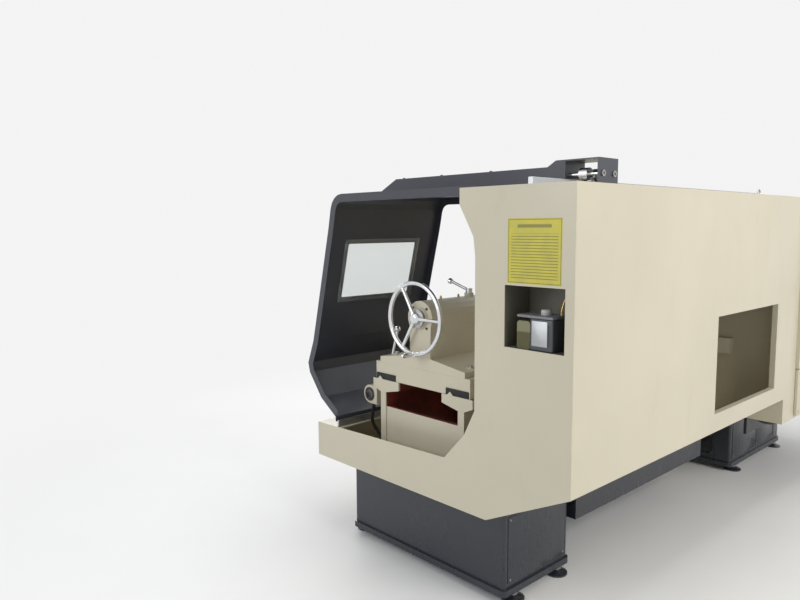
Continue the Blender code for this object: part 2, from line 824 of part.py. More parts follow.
def rear_guard():
    """One folded sheet: sloped underside, rear face, top, and a splash face that flares to the bed."""
    span = (from_tail(GUARD_LENGTH), TAIL - SHEET - GAP)
    splash = REAR - GUARD_DEPTH
    slope_foot = AXIS_Y + TRAY_BEHIND_AXIS + PLAY
    run = (
        (slope_foot, TRAY_FLOOR),
        (REAR, GUARD_FOOT),
        (REAR, GUARD_TOP),
        (splash, GUARD_TOP),
        (splash, GUARD_SPLASH_FOOT + GUARD_FLARE_RISE),
        (splash - GUARD_FLARE, GUARD_SPLASH_FOOT),
    )
    sheet = folded("YZ", span, run, "left")
    x = (from_tail(ACCESS_FROM_TAIL), from_tail(ACCESS_FROM_TAIL + ACCESS_LENGTH))
    z = (ACCESS_LOW, ACCESS_LOW + ACCESS_HEIGHT)
    around = rectangle((x[0] + SHEET, x[1] - SHEET), (z[0] - SHEET, z[1] + SHEET))
    flange = plate("XZ", (REAR - ACCESS_FLANGE, REAR - SHEET / 2), around, rectangle(x, z))
    opening = box(x, (REAR - SHEET * 2, REAR + SHEET), z)
    part("rear_guard", cut(join(sheet, flange), opening), CREAM)


def end_panel():
    """The flat end sheet of the guard and of the tray, with a welded pocket."""
    splash = REAR - GUARD_DEPTH
    tray_front = AXIS_Y - TRAY_BEFORE_AXIS
    nose = splash - END_PANEL_NOSE
    outline = (
        (REAR, GUARD_FOOT),
        (REAR, GUARD_TOP),
        (nose, GUARD_TOP),
        (nose, GUARD_TOP - 0.065),
        (splash - 0.010, GUARD_TOP - NOSE_RISE),
        (splash, GUARD_TOP - NOSE_RISE - 0.080),
        (splash, GUARD_SPLASH_FOOT + GUARD_FLARE_RISE),
        (splash - GUARD_FLARE, GUARD_SPLASH_FOOT),
        (splash - 3 * GUARD_FLARE, TRAY_FLOOR + TRAY_END_RISE),
        (tray_front, TRAY_FLOOR + TRAY_WALL),
        (tray_front, TRAY_FLOOR),
        (AXIS_Y + TRAY_BEHIND_AXIS, TRAY_FLOOR),
    )
    panel = plate("YZ", (TAIL - SHEET, TAIL), outline)
    y = (REAR - POCKET_INSET, REAR - POCKET_INSET - POCKET_WIDTH)
    z = (POCKET_LOW, POCKET_LOW + POCKET_HEIGHT)
    back = TAIL - POCKET_DEPTH
    outer = box((back, TAIL - SHEET / 2), (y[0] + SHEET, y[1] - SHEET), (z[0] - SHEET, z[1] + SHEET))
    hollow = box((back + SHEET, TAIL + SHEET), y, z)
    part("end_panel", cut(join(panel, outer), hollow), CREAM)


def lubricator():
    """The lubricator in the pocket: a pump housing with a filler cap, and an oil reservoir beside it."""
    middle = REAR - POCKET_INSET - POCKET_WIDTH / 2
    rear = middle + (LUBRICATOR_WIDTH + RESERVOIR_WIDTH) / 2
    front = TAIL - SHEET
    low = POCKET_LOW + GAP
    x = (front - LUBRICATOR_DEPTH, front)
    y = (rear, rear - LUBRICATOR_WIDTH)
    outline = rectangle(y, (low, low + LUBRICATOR_HEIGHT), 0.008)
    housing = plate("YZ", x, outline)
    cap_seat = (sum(x) / 2, sum(y) / 2, low + LUBRICATOR_HEIGHT - BOOLEAN_REACH)
    cap = cylinder(CAP_RADIUS, "Z", cap_seat, CAP_HEIGHT)
    bracket = box(
        (from_tail(POCKET_DEPTH) + SHEET + GAP, x[0] + BOOLEAN_REACH),
        (y[0] - 0.02, y[1] + 0.02),
        (low + 0.02, low + 0.09),
    )
    part("lubricator", join(housing, cap, bracket), DARK_GREY)
    y = (rear - LUBRICATOR_WIDTH - GAP, rear - LUBRICATOR_WIDTH - RESERVOIR_WIDTH)
    x = (front - LUBRICATOR_DEPTH * 0.9, front - 0.006)
    tank = plate("YZ", x, rectangle(y, (low, low + RESERVOIR_HEIGHT), 0.012))
    part("lubricator_reservoir", tank, OLIVE)


def hood_corner_points():
    """The hood's outline from the rear edge of its roof to its foot, as (y, z)."""
    front = -WIDTH / 2
    roof = GUARD_TOP + HOOD_STEP
    height = roof - HOOD_FOOT
    rear = REAR - GUARD_DEPTH - HOOD_REAR_GAP
    shoulder = front + HOOD_FOOT_INSET
    points = [(rear, roof, 0), (shoulder, roof, HOOD_CORNER)]
    points += [(front + inset, HOOD_FOOT + share * height, 0) for inset, share in HOOD_OUTLINE]
    points.append((shoulder, HOOD_FOOT, 0))
    return points


def inward(points, distance):
    """The same run of points moved to its left by a distance, with its corners kept sharp."""
    moved = []
    last = len(points) - 1
    for index, point in enumerate(points):
        here = Vector(point)
        before = Vector(points[max(index - 1, 0)])
        after = Vector(points[min(index + 1, last)])
        one = (here - before) if index else (after - here)
        two = (after - here) if index < last else (here - before)
        side_one = Vector((-one.y, one.x)).normalized()
        side_two = Vector((-two.y, two.x)).normalized()
        mitre = (side_one + side_two).normalized()
        moved.append(tuple(here + mitre * (distance / mitre.dot(side_one))))
    return moved


def hood_face():
    """The middle of the hood's sloped front panel, its direction upwards and its outward normal."""
    upper, lower = hood_corner_points()[2:4]
    upper, lower = Vector((0, *upper[:2])), Vector((0, *lower[:2]))
    up = (upper - lower).normalized()
    return (upper + lower) / 2, up, Vector((0, -up.z, up.y))


def face_box(middle_x, width, height, depth):
    """A box lying in the sloped front panel, its depth given as limits along the outward normal."""
    middle, up, normal = hood_face()
    frame = Matrix((Vector((1, 0, 0)), up, normal)).transposed().to_4x4()
    mesh = bpy.data.meshes.new("face_box")
    bm = bmesh.new()
    size = Vector((width, height, depth[1] - depth[0]))
    centre = Vector((middle_x, 0, 0)) + middle + normal * sum(depth) / 2
    bmesh.ops.create_cube(bm, size=1)
    bmesh.ops.transform(bm, matrix=Matrix.Diagonal(size).to_4x4(), verts=bm.verts)
    bm.to_mesh(mesh)
    bm.free()
    mesh.transform(Matrix.Translation(centre) @ frame)
    return helper(mesh)


def hood():
    """The sliding hood: a bent shell with flanged ends, a window, and its carrier beam on top."""
    tail = TAIL - HOOD_INSET
    head = tail - HOOD_LENGTH
    roof = GUARD_TOP + HOOD_STEP
    outline = rounded(hood_corner_points())
    rear = outline[0][0]
    foot_y = outline[-1][0]
    run = [(rear, roof - HOOD_LIP), *outline, (foot_y, HOOD_FOOT - HOOD_GUIDE)]
    shell = folded("YZ", (head, tail), run, "left")
    band = outline + list(reversed(inward(outline, HOOD_FLANGE)))
    ends = [plate("YZ", (x, x + SHEET), band) for x in (head, tail - SHEET)]
    middle_x = (head + tail) / 2
    opening = face_box(middle_x, WINDOW_WIDTH, WINDOW_HEIGHT, (-0.02, 0.02))
    part("hood_shell", cut(join(shell, *ends), opening), CHARCOAL)
    pane = face_box(
        middle_x,
        WINDOW_WIDTH + 2 * PANE_LAP,
        WINDOW_HEIGHT + 2 * PANE_LAP,
        (-SHEET - GAP - PANE_THICKNESS, -SHEET - GAP),
    )
    part("hood_window", pane, GLASS)
    middle, up, normal = hood_face()
    x = head + HANDLE_FROM_EDGE
    route = []
    half = HANDLE_HEIGHT / 2
    bend = 0.02
    for along, out in (
        (-half, GAP),
        (-half, HANDLE_STANDOFF - bend),
        (-half + bend * 0.3, HANDLE_STANDOFF - bend * 0.3),
        (-half + bend, HANDLE_STANDOFF),
    ):
        route.append(middle + Vector((x, 0, 0)) + up * along + normal * out)
    mirror = [point - 2 * (point - middle - Vector((x, 0, 0))).dot(up) * up for point in reversed(route)]
    part("hood_handle", tube([*route, *mirror], HANDLE_RADIUS), CHROME)


def beam_middle():
    return from_tail(HOOD_INSET + BEAM_FROM_END + BEAM_WIDTH / 2)


def roller_centre(index):
    rail_top = GUARD_TOP + GAP + TOP_RAIL_HEIGHT
    x = beam_middle() + (index - 0.5) * ROLLER_PITCH
    return Vector((x, REAR - TOP_RAIL_BEHIND, rail_top + GAP + ROLLER_RADIUS))


def hood_carrier():
    """The beam across the hood's roof that ends in a bracket over the top rail, and its two rollers."""
    roof = GUARD_TOP + HOOD_STEP + GAP
    top = roof + BEAM_HEIGHT
    peak = top + BRACKET_RISE
    rail_y = REAR - TOP_RAIL_BEHIND
    rear = rail_y + BRACKET_HALF
    inner = rail_y - BRACKET_HALF
    front = -WIDTH / 2 + BEAM_FRONT_INSET
    outline = (
        (front + BEAM_NOSE_ROUND, roof),
        (inner, roof),
        (inner, peak - BRACKET_CHEEK),
        (rear - BRACKET_CHEEK, peak - BRACKET_CHEEK),
        (rear - BRACKET_CHEEK, roof),
        (rear, roof),
        (rear, peak),
        (inner - BRACKET_SHELF, peak),
        (inner - BRACKET_SHELF - BRACKET_SLOPE, top),
        (front + BEAM_NOSE_LENGTH, top),
        (front, top - BEAM_NOSE_DROP),
        (front, roof + BEAM_NOSE_ROUND),
    )
    x = beam_middle()
    beam = plate("YZ", (x - BEAM_WIDTH / 2, x + BEAM_WIDTH / 2), outline)
    holes = []
    for index in (0, 1):
        centre = roller_centre(index)
        start = centre + Vector((0, -BRACKET_HALF - 0.012, 0))
        holes.append(cylinder(AXLE_RADIUS + GAP, "Y", start, 2 * BRACKET_HALF + 0.02, 16))
    part("hood_beam", cut(beam, *holes), CHARCOAL)
    reach = BRACKET_HALF - BRACKET_CHEEK
    for index in (0, 1):
        profile = (
            (0, reach + BRACKET_CHEEK),
            (AXLE_RADIUS, reach + BRACKET_CHEEK),
            (AXLE_RADIUS, ROLLER_HALF_WIDTH),
            (ROLLER_RADIUS, ROLLER_HALF_WIDTH),
            (ROLLER_RADIUS, -ROLLER_HALF_WIDTH),
            (AXLE_RADIUS, -ROLLER_HALF_WIDTH),
            (AXLE_RADIUS, -reach - BRACKET_CHEEK - 0.008),
            (0, -reach - BRACKET_CHEEK - 0.008),
        )
        roller = turned(profile, "Y", roller_centre(index))
        part("hood_roller_" + "ab"[index], roller, CHROME)


def rails():
    y = REAR - TOP_RAIL_BEHIND
    low = GUARD_TOP + GAP
    span = (from_tail(GUARD_LENGTH) + 0.01, TAIL - 0.01)
    half = TOP_RAIL_WIDTH / 2
    outline = rounded(
        (
            (y - half, low, 0),
            (y + half, low, 0),
            (y + half, low + TOP_RAIL_HEIGHT, 0.003),
            (y - half, low + TOP_RAIL_HEIGHT, 0.003),
        ),
        2,
    )
    part("top_rail", plate("YZ", span, outline), GROUND)
    low = TRAY_FLOOR + TRAY_WALL + GAP
    y = -WIDTH / 2 + HOOD_FOOT_INSET + SHEET + BOTTOM_RAIL_CLEARANCE
    rail = box(span, (y, y + BOTTOM_RAIL_WIDTH), (low, low + BOTTOM_RAIL_HEIGHT), 0.001)
    part("bottom_rail", rail, GROUND)


def knuckles(x, y, z_middle, height, tab_x, tab_y):
    """A fixed and a moving hinge barrel on one upright axis, each with a tab to what it holds."""
    fixed = cylinder(HINGE_RADIUS, "Z", (x, y, z_middle - height), height - GAP / 2, 16)
    moving = cylinder(HINGE_RADIUS, "Z", (x, y, z_middle + GAP / 2), height, 16)
    fixed_tab = box(tab_x[0], tab_y[0], (z_middle - height + PLAY, z_middle - PLAY))
    moving_tab = box(tab_x[1], tab_y[1], (z_middle + PLAY, z_middle + height - PLAY))
    return join(fixed, fixed_tab), join(moving, moving_tab)


def cabinet():
    """The rear cabinet: electrics behind a door in its upper part, the motor in its open lower part."""
    tail = from_tail(GUARD_LENGTH) - GAP
    head = FRAME_HEAD
    front = REAR - CABINET_DEPTH
    shell = box((head, tail), (front, REAR), (CABINET_FOOT, GUARD_TOP))
    inner_x = (head + SHEET, tail - SHEET)
    inner_y = (front + SHEET, REAR - SHEET)
    upper = box(inner_x, inner_y, (CABINET_SHELF + SHEET, GUARD_TOP - SHEET))
    lower = box(inner_x, inner_y, (CABINET_FOOT - SHEET, CABINET_SHELF))
    leaf_x = (head + LEAF_MARGIN, tail - LEAF_FROM_TAIL)
    leaf_z = (CABINET_SHELF + SHEET, GUARD_TOP - LEAF_MARGIN)
    opening = box(
        (leaf_x[0] + CABINET_FRAME, leaf_x[1] - CABINET_FRAME),
        (REAR - SHEET * 2, REAR + SHEET),
        (leaf_z[0] + CABINET_FRAME, leaf_z[1] - CABINET_FRAME),
    )
    shaft_y = AXIS_Y + MOTOR_BEHIND_AXIS
    notch = box(
        (head - SHEET, head + 2 * SHEET),
        (shaft_y - 2 * MOTOR_SHAFT_RADIUS, shaft_y + 2 * MOTOR_SHAFT_RADIUS),
        (CABINET_FOOT - SHEET, MOTOR_HEIGHT + 3 * MOTOR_SHAFT_RADIUS),
    )
    junction_y = REAR - JUNCTION_FROM_REAR
    junction = box(
        (tail - SHEET / 2, tail + JUNCTION_DEPTH),
        (junction_y, junction_y - JUNCTION_WIDTH),
        (JUNCTION_LOW, JUNCTION_LOW + JUNCTION_WIDTH),
    )
    shape = cut(join(shell, junction), upper, lower, opening, notch)
    leaf_y = (REAR + GAP, REAR + GAP + LEAF_THICKNESS)
    leaf = box(leaf_x, leaf_y, leaf_z)
    dish = box(
        (leaf_x[0] + SHEET, leaf_x[1] - SHEET),
        (leaf_y[0] - SHEET, leaf_y[1] - SHEET),
        (leaf_z[0] + SHEET, leaf_z[1] - SHEET),
    )
    leaf = cut(leaf, dish)
    hinge_x = leaf_x[0] - HINGE_RADIUS - 0.002
    hinge_y = REAR + HINGE_RADIUS + 0.004
    middle = sum(leaf_z) / 2
    for z in (middle - HINGE_SPREAD, middle + HINGE_SPREAD):
        fixed, moving = knuckles(
            hinge_x,
            hinge_y,
            z,
            KNUCKLE,
            ((hinge_x - 0.002, hinge_x + 0.002), (hinge_x, leaf_x[0] + SHEET / 2)),
            ((REAR - SHEET / 2, hinge_y), (hinge_y - 0.002, hinge_y + 0.002)),
        )
        join(shape, fixed)
        join(leaf, moving)
    latch_x = leaf_x[1] - 0.05
    latch_z = middle
    hole = cylinder(0.009 + GAP, "Y", (latch_x, leaf_y[0] - 0.01, latch_z), 0.05, 16)
    part("cabinet_shell", shape, CREAM)
    part("cabinet_door", cut(leaf, hole), CREAM, (hinge_x, hinge_y, middle))
    latch = turned(
        (
            (0, LATCH_PROUD - 0.010),
            (LATCH_RADIUS * 0.8, LATCH_PROUD - 0.010),
            (LATCH_RADIUS, LATCH_PROUD - 0.014),
            (LATCH_RADIUS, GAP),
            (0.009, GAP),
            (0.009, -SHEET - 0.006),
            (0, -SHEET - 0.006),
        ),
        "Y",
        (latch_x, leaf_y[1], latch_z),
    )
    grip = box(
        (latch_x - 0.006, latch_x + 0.006),
        (leaf_y[1] + LATCH_PROUD - 0.012, leaf_y[1] + LATCH_PROUD),
        (latch_z - LATCH_RADIUS * 1.5, latch_z + LATCH_RADIUS * 1.5),
    )
    handle = baked(join(latch, grip))
    part("cabinet_latch", handle, BLACK, (latch_x, leaf_y[1], latch_z))


def control_gear():
    """The gear plate in the cabinet, with its drive, breakers, contactors, transformer and terminals."""
    tail = from_tail(GUARD_LENGTH) - GAP - SHEET
    head = FRAME_HEAD + SHEET
    wall = REAR - CABINET_DEPTH + SHEET + GAP
    back = wall + GEAR_STANDOFF
    x = (head + 0.08, tail - 0.13)
    z = (CABINET_SHELF + 0.09, GUARD_TOP - 0.14)
    panel = box(x, (back, back + SHEET), z)
    face = back + SHEET - BOOLEAN_REACH / 2
    pieces = []
    for px in (x[0] + 0.04, x[1] - 0.04):
        for pz in (z[0] + 0.04, z[1] - 0.04):
            pieces.append(cylinder(0.008, "Y", (px, wall, pz), GEAR_STANDOFF + BOOLEAN_REACH, 12))
    foot, top = z
    blocks = (
        (0.06, 0.24, top - DRIVE_DROP, top - GEAR_EDGE, 0.17),
        (0.28, 0.42, top - DRIVE_DROP, top - GEAR_EDGE, 0.17),
        (0.06, 0.20, foot + 0.06, foot + 0.18, 0.13),
        (0.26, 0.34, foot + 0.06, foot + 0.16, 0.08),
    )
    for x_low, x_high, z_low, z_high, deep in blocks:
        pieces.append(box((x[0] + x_low, x[0] + x_high), (face, face + deep), (z_low, z_high)))
    for index in range(5):
        left = x[0] + 0.48 + index * 0.056
        pieces.append(box((left, left + 0.044), (face, face + 0.075), (top - BREAKER_DROP, top - 0.24)))
        pieces.append(box((left, left + 0.044), (face, face + 0.065), (foot + 0.24, foot + 0.33)))
    pieces.append(box((x[0] + 0.46, x[1] - 0.04), (face, face + 0.045), (foot + 0.06, foot + 0.10)))
    part("control_gear", join(panel, *pieces), GALVANISED)


def headstock():
    tail = FRAME_HEAD + PEDESTAL_WALL + HEADSTOCK_LENGTH
    head = FRAME_HEAD + PEDESTAL_WALL
    half = HEADSTOCK_WIDTH / 2
    top = AXIS_Z + HEADSTOCK_RISE
    bottom = way_line(GAP)
    bottom[0] = (AXIS_Y + half, bottom[0][1])
    bottom[-1] = (AXIS_Y - half, bottom[-1][1])
    body = plate("YZ", (head, tail), list(reversed(bottom)) + upper_corners(half, top))
    cap_seat = (tail - BOOLEAN_REACH, AXIS_Y, AXIS_Z)
    cap = cylinder(BEARING_CAP_RADIUS, "X", cap_seat, BEARING_CAP_LENGTH + BOOLEAN_REACH)
    bore_start = (head - SHEET, AXIS_Y, AXIS_Z)
    bore_length = HEADSTOCK_LENGTH + BEARING_CAP_LENGTH + 2 * SHEET
    bore = cylinder(SPINDLE_RADIUS + SPINDLE_PLAY, "X", bore_start, bore_length)
    part("headstock", cut(join(body, cap), bore), CREAM)
    return tail + BEARING_CAP_LENGTH


def upper_corners(half, top):
    """The two rounded upper corners of the headstock's section, from the rear to the front."""
    radius = HEADSTOCK_ROUND
    points = []
    for side, start in ((1, 0), (-1, 90)):
        for step in range(ROUND_STEPS + 1):
            angle = math.radians(start + 90 * step / ROUND_STEPS)
            centre_y = AXIS_Y + side * (half - radius)
            points.append((centre_y + radius * math.cos(angle), top - radius + radius * math.sin(angle)))
    return points


def spindle_set(nose_start):
    """The spindle with its nose, the chuck on it, its three jaws, and the pulley on its tail."""
    centre = Vector((0, AXIS_Y, AXIS_Z))
    start = nose_start + GAP
    nose_end = start + NOSE_LENGTH
    rear_end = FRAME_HEAD - END_COVER_DEPTH + 0.055
    seat = SPINDLE_RADIUS - 0.005
    shoulder = FRAME_HEAD - 0.010
    profile = (
        (SPINDLE_BORE, nose_end),
        (NOSE_RADIUS, nose_end),
        (NOSE_RADIUS, start),
        (SPINDLE_RADIUS, start),
        (SPINDLE_RADIUS, shoulder),
        (seat, shoulder),
        (seat, rear_end),
        (SPINDLE_BORE, rear_end),
    )
    part("spindle", turned(profile, "X", centre, closed=True), GROUND)
    back = nose_end + GAP
    face = back + CHUCK_LENGTH
    edge = 0.006
    chuck = turned(
        (
            (SPINDLE_BORE, face),
            (CHUCK_RADIUS - edge, face),
            (CHUCK_RADIUS, face - edge),
            (CHUCK_RADIUS, back + edge),
            (CHUCK_RADIUS - edge, back),
            (SPINDLE_BORE, back),
        ),
        "X",
        centre,
        36,
        True,
    )
    slots = []
    half = JAW_WIDTH / 2
    step = 0.016
    for index in range(3):
        turn = Matrix.Rotation(index * FULL_TURN / 3, 4, "X")
        turn = Matrix.Translation(centre) @ turn @ Matrix.Translation(-centre)
        slot = box(
            (face - JAW_SEAT - GAP, face + 0.01),
            (AXIS_Y - half - GAP, AXIS_Y + half + GAP),
            (AXIS_Z + SPINDLE_BORE * 0.5, AXIS_Z + CHUCK_RADIUS + 0.01),
        )
        slot.data.transform(turn)
        slots.append(slot)
        low, high = AXIS_Z + JAW_INNER, AXIS_Z + JAW_OUTER
        outline = (
            (face - JAW_SEAT, low),
            (face - JAW_SEAT, high),
            (face + step, high),
            (face + step, high - 0.022),
            (face + 2 * step, high - 0.022),
            (face + 2 * step, high - 0.044),
            (face + 3 * step, high - 0.044),
            (face + 3 * step, low),
        )
        jaw = plate("XZ", (AXIS_Y - half, AXIS_Y + half), outline)
        jaw.data.transform(turn)
        part(f"chuck_jaw_{'abc'[index]}", jaw, GROUND)
    part("chuck_body", baked(cut(chuck, *slots)), GROUND, centre + Vector((back, 0, 0)))
    wheel = pulley(PULLEY_RADIUS, seat + GAP)
    part("spindle_pulley", turned(wheel, "X", centre + Vector((pulley_middle(), 0, 0)), 36, True), CAST)
    return face


def pulley_middle():
    return FRAME_HEAD - PULLEY_FROM_FRAME - PULLEY_LENGTH / 2


def pulley(radius, bore):
    """A grooved pulley's closed profile about its own middle."""
    half = PULLEY_LENGTH / 2
    profile = [(bore, half), (radius, half)]
    for index in range(BELT_COUNT):
        middle = ((BELT_COUNT - 1) / 2 - index) * BELT_PITCH
        profile.append((radius, middle + GROOVE_WIDTH / 2))
        profile.append((radius - GROOVE_DEPTH, middle + GROOVE_WIDTH / 2))
        profile.append((radius - GROOVE_DEPTH, middle - GROOVE_WIDTH / 2))
        profile.append((radius, middle - GROOVE_WIDTH / 2))
    profile += [(radius, -half), (bore, -half)]
    return profile


def belt_loop(one, radius_one, two, radius_two, steps=14):
    """The outline of a belt round two circles: an arc on each, joined by the outer tangents."""
    one, two = Vector(one), Vector(two)
    line = two - one
    heading = math.atan2(line.y, line.x)
    lean = math.acos((radius_one - radius_two) / line.length)
    points = []
    for centre, radius, first, last in (
        (one, radius_one, heading + lean, heading + FULL_TURN - lean),
        (two, radius_two, heading - lean, heading + lean),
    ):
        for step in range(steps + 1):
            angle = first + (last - first) * step / steps
            points.append((centre.x + radius * math.cos(angle), centre.y + radius * math.sin(angle)))
    return points


def belt():
    """The banded belt: three ribs that run in the pulleys' grooves, under one thin band."""
    upper = (AXIS_Y, AXIS_Z)
    lower = (AXIS_Y + MOTOR_BEHIND_AXIS, MOTOR_HEIGHT)
    big = PULLEY_RADIUS - GROOVE_DEPTH + PLAY
    small = MOTOR_PULLEY_RADIUS - GROOVE_DEPTH + PLAY
    reach = (BELT_COUNT - 1) / 2 * BELT_PITCH + BELT_WIDTH / 2 + BELT_BAND / 2
    back = BELT_THICKNESS + BELT_BAND
    section = [(-reach, BELT_THICKNESS), (-reach, back), (reach, back), (reach, BELT_THICKNESS)]
    for index in range(BELT_COUNT):
        middle = ((BELT_COUNT - 1) / 2 - index) * BELT_PITCH
        right, left = middle + BELT_WIDTH / 2, middle - BELT_WIDTH / 2
        section += [(right, BELT_THICKNESS), (right, 0), (left, 0), (left, BELT_THICKNESS)]
    bm = bmesh.new()
    rows = []
    for across, lift in section:
        loop = belt_loop(upper, big + lift, lower, small + lift)
        rows.append([bm.verts.new((pulley_middle() + across, y, z)) for y, z in loop])
    for index, row in enumerate(rows):
        for step in range(len(row)):
            before, behind = rows[index - 1], step - 1
            bm.faces.new((before[behind], before[step], row[step], row[behind]))
    bmesh.ops.recalc_face_normals(bm, faces=bm.faces)
    mesh = bpy.data.meshes.new("belt")
    bm.to_mesh(mesh)
    bm.free()
    part("drive_belt", helper(mesh), RUBBER)


def main_motor():
    """The finned motor behind the head pedestal, its feet on the pedestal's rear face, and its pulley."""
    y, z = AXIS_Y + MOTOR_BEHIND_AXIS, MOTOR_HEIGHT
    head = FRAME_HEAD + MOTOR_FROM_FRAME
    tail = head + MOTOR_LENGTH
    outline = []
    for index in range(FIN_COUNT):
        for share, radius in ((0.0, 0), (0.25, 0), (0.35, FIN_DEPTH), (0.9, FIN_DEPTH)):
            angle = FULL_TURN * (index + share) / FIN_COUNT
            reach = MOTOR_RADIUS - radius
            outline.append((y + reach * math.cos(angle), z + reach * math.sin(angle)))
    body = plate("YZ", (head + 0.06, tail - 0.09), outline)
    bell = MOTOR_RADIUS - FIN_DEPTH / 2
    ends = turned(
        (
            (0, tail),
            (bell * 0.9, tail),
            (bell, tail - 0.012),
            (bell, head + 0.012),
            (bell * 0.85, head),
            (0.05, head - 0.012),
            (MOTOR_SHAFT_RADIUS, head - 0.012),
            (MOTOR_SHAFT_RADIUS, pulley_middle() - PULLEY_LENGTH / 2 - 0.005),
            (0, pulley_middle() - PULLEY_LENGTH / 2 - 0.005),
        ),
        "X",
        (0, y, z),
    )
    face = PEDESTAL_REAR + GAP
    feet = []
    for x in (head + 0.09, tail - 0.15):
        foot_z = (z - MOTOR_RADIUS, z - MOTOR_RADIUS + MOTOR_FOOT)
        feet.append(box((x, x + 0.06), (face, y - MOTOR_RADIUS / 2), foot_z))
    plate_low = box((head + 0.05, tail - 0.05), (face, face + 0.012), (0.20, TRAY_FLOOR - 0.010))
    motor = join(baked(ends), body, plate_low, *feet)
    part("main_motor", motor, DARK_GREY)
    wheel = pulley(MOTOR_PULLEY_RADIUS, MOTOR_SHAFT_RADIUS + GAP)
    part("motor_pulley", turned(wheel, "X", (pulley_middle(), y, z), 28, True), CAST)


def head_cover():
    """The fixed cover over the headstock, open for the chuck at one end and the spindle at the other."""
    tail = from_tail(GUARD_LENGTH) - 0.010
    head = FRAME_HEAD
    rear = REAR - CABINET_DEPTH - GAP
    front = AXIS_Y - HEAD_COVER_BEFORE_AXIS
    foot = TRAY_FLOOR + TRAY_WALL + GAP
    corner = (
        (rear, HEAD_COVER_TOP, 0),
        (front, HEAD_COVER_TOP, HEAD_COVER_ROUND),
        (front, foot, 0),
    )
    run = rounded(corner)
    sheet = folded("YZ", (head, tail), run, "left")
    notch_rear = AXIS_Y + BED_WIDTH / 2 + 0.03
    notch_front = AXIS_Y - BED_WIDTH / 2 - 0.15
    notch_top = WAY_TOP + VEE_RISE + 0.012
    base = foot + 0.05
    chuck_wall = (
        *run,
        (notch_front, foot),
        (notch_front, notch_top),
        (notch_rear, notch_top),
        (notch_rear, base),
        (rear, base),
    )
    rear_wall = (*run, (rear, foot))
    chuck_hole = circle(AXIS_Y, AXIS_Z, CHUCK_OPENING, 32)
    spindle_hole = circle(AXIS_Y, AXIS_Z, SPINDLE_OPENING)
    walls = (
        plate("YZ", (tail - SHEET, tail), chuck_wall, chuck_hole),
        plate("YZ", (head, head + SHEET), rear_wall, spindle_hole),
    )
    part("head_cover", join(sheet, *walls), CREAM)
    return front


def end_cover():
    """The hinged pan-shaped cover over the belts."""
    rear = REAR - END_COVER_REAR_INSET
    y = (rear, rear - END_COVER_WIDTH)
    z = (END_COVER_LOW, END_COVER_HIGH)
    rim = FRAME_HEAD - PLAY
    outer = plate("YZ", (HEAD, rim), rectangle(y, z, END_COVER_ROUND))
    inner = plate(
        "YZ",
        (HEAD + SHEET, rim + SHEET),
        rectangle((y[0] - SHEET, y[1] + SHEET), (z[0] + SHEET, z[1] - SHEET), END_COVER_ROUND - SHEET),
    )
    shell = cut(outer, inner)
    hinge_x = FRAME_HEAD - HINGE_RADIUS - 0.004
    hinge_y = rear + HINGE_RADIUS + 0.004
    middle = (1.2 * CABINET_SHELF + END_COVER_HIGH) / 2.2
    fixed_parts = []
    for height in (middle - HINGE_SPREAD, middle + HINGE_SPREAD):
        fixed, moving = knuckles(
            hinge_x,
            hinge_y,
            height,
            KNUCKLE,
            ((hinge_x, FRAME_HEAD + SHEET / 2), (hinge_x - 0.002, hinge_x + 0.002)),
            ((hinge_y - 0.002, hinge_y + 0.002), (rear - SHEET / 2, hinge_y)),
        )
        join(shell, moving)
        fixed_parts.append(fixed)
    join(bpy.data.objects["cabinet_shell"], *fixed_parts)
    part("end_cover", shell, CREAM, (hinge_x, hinge_y, middle))


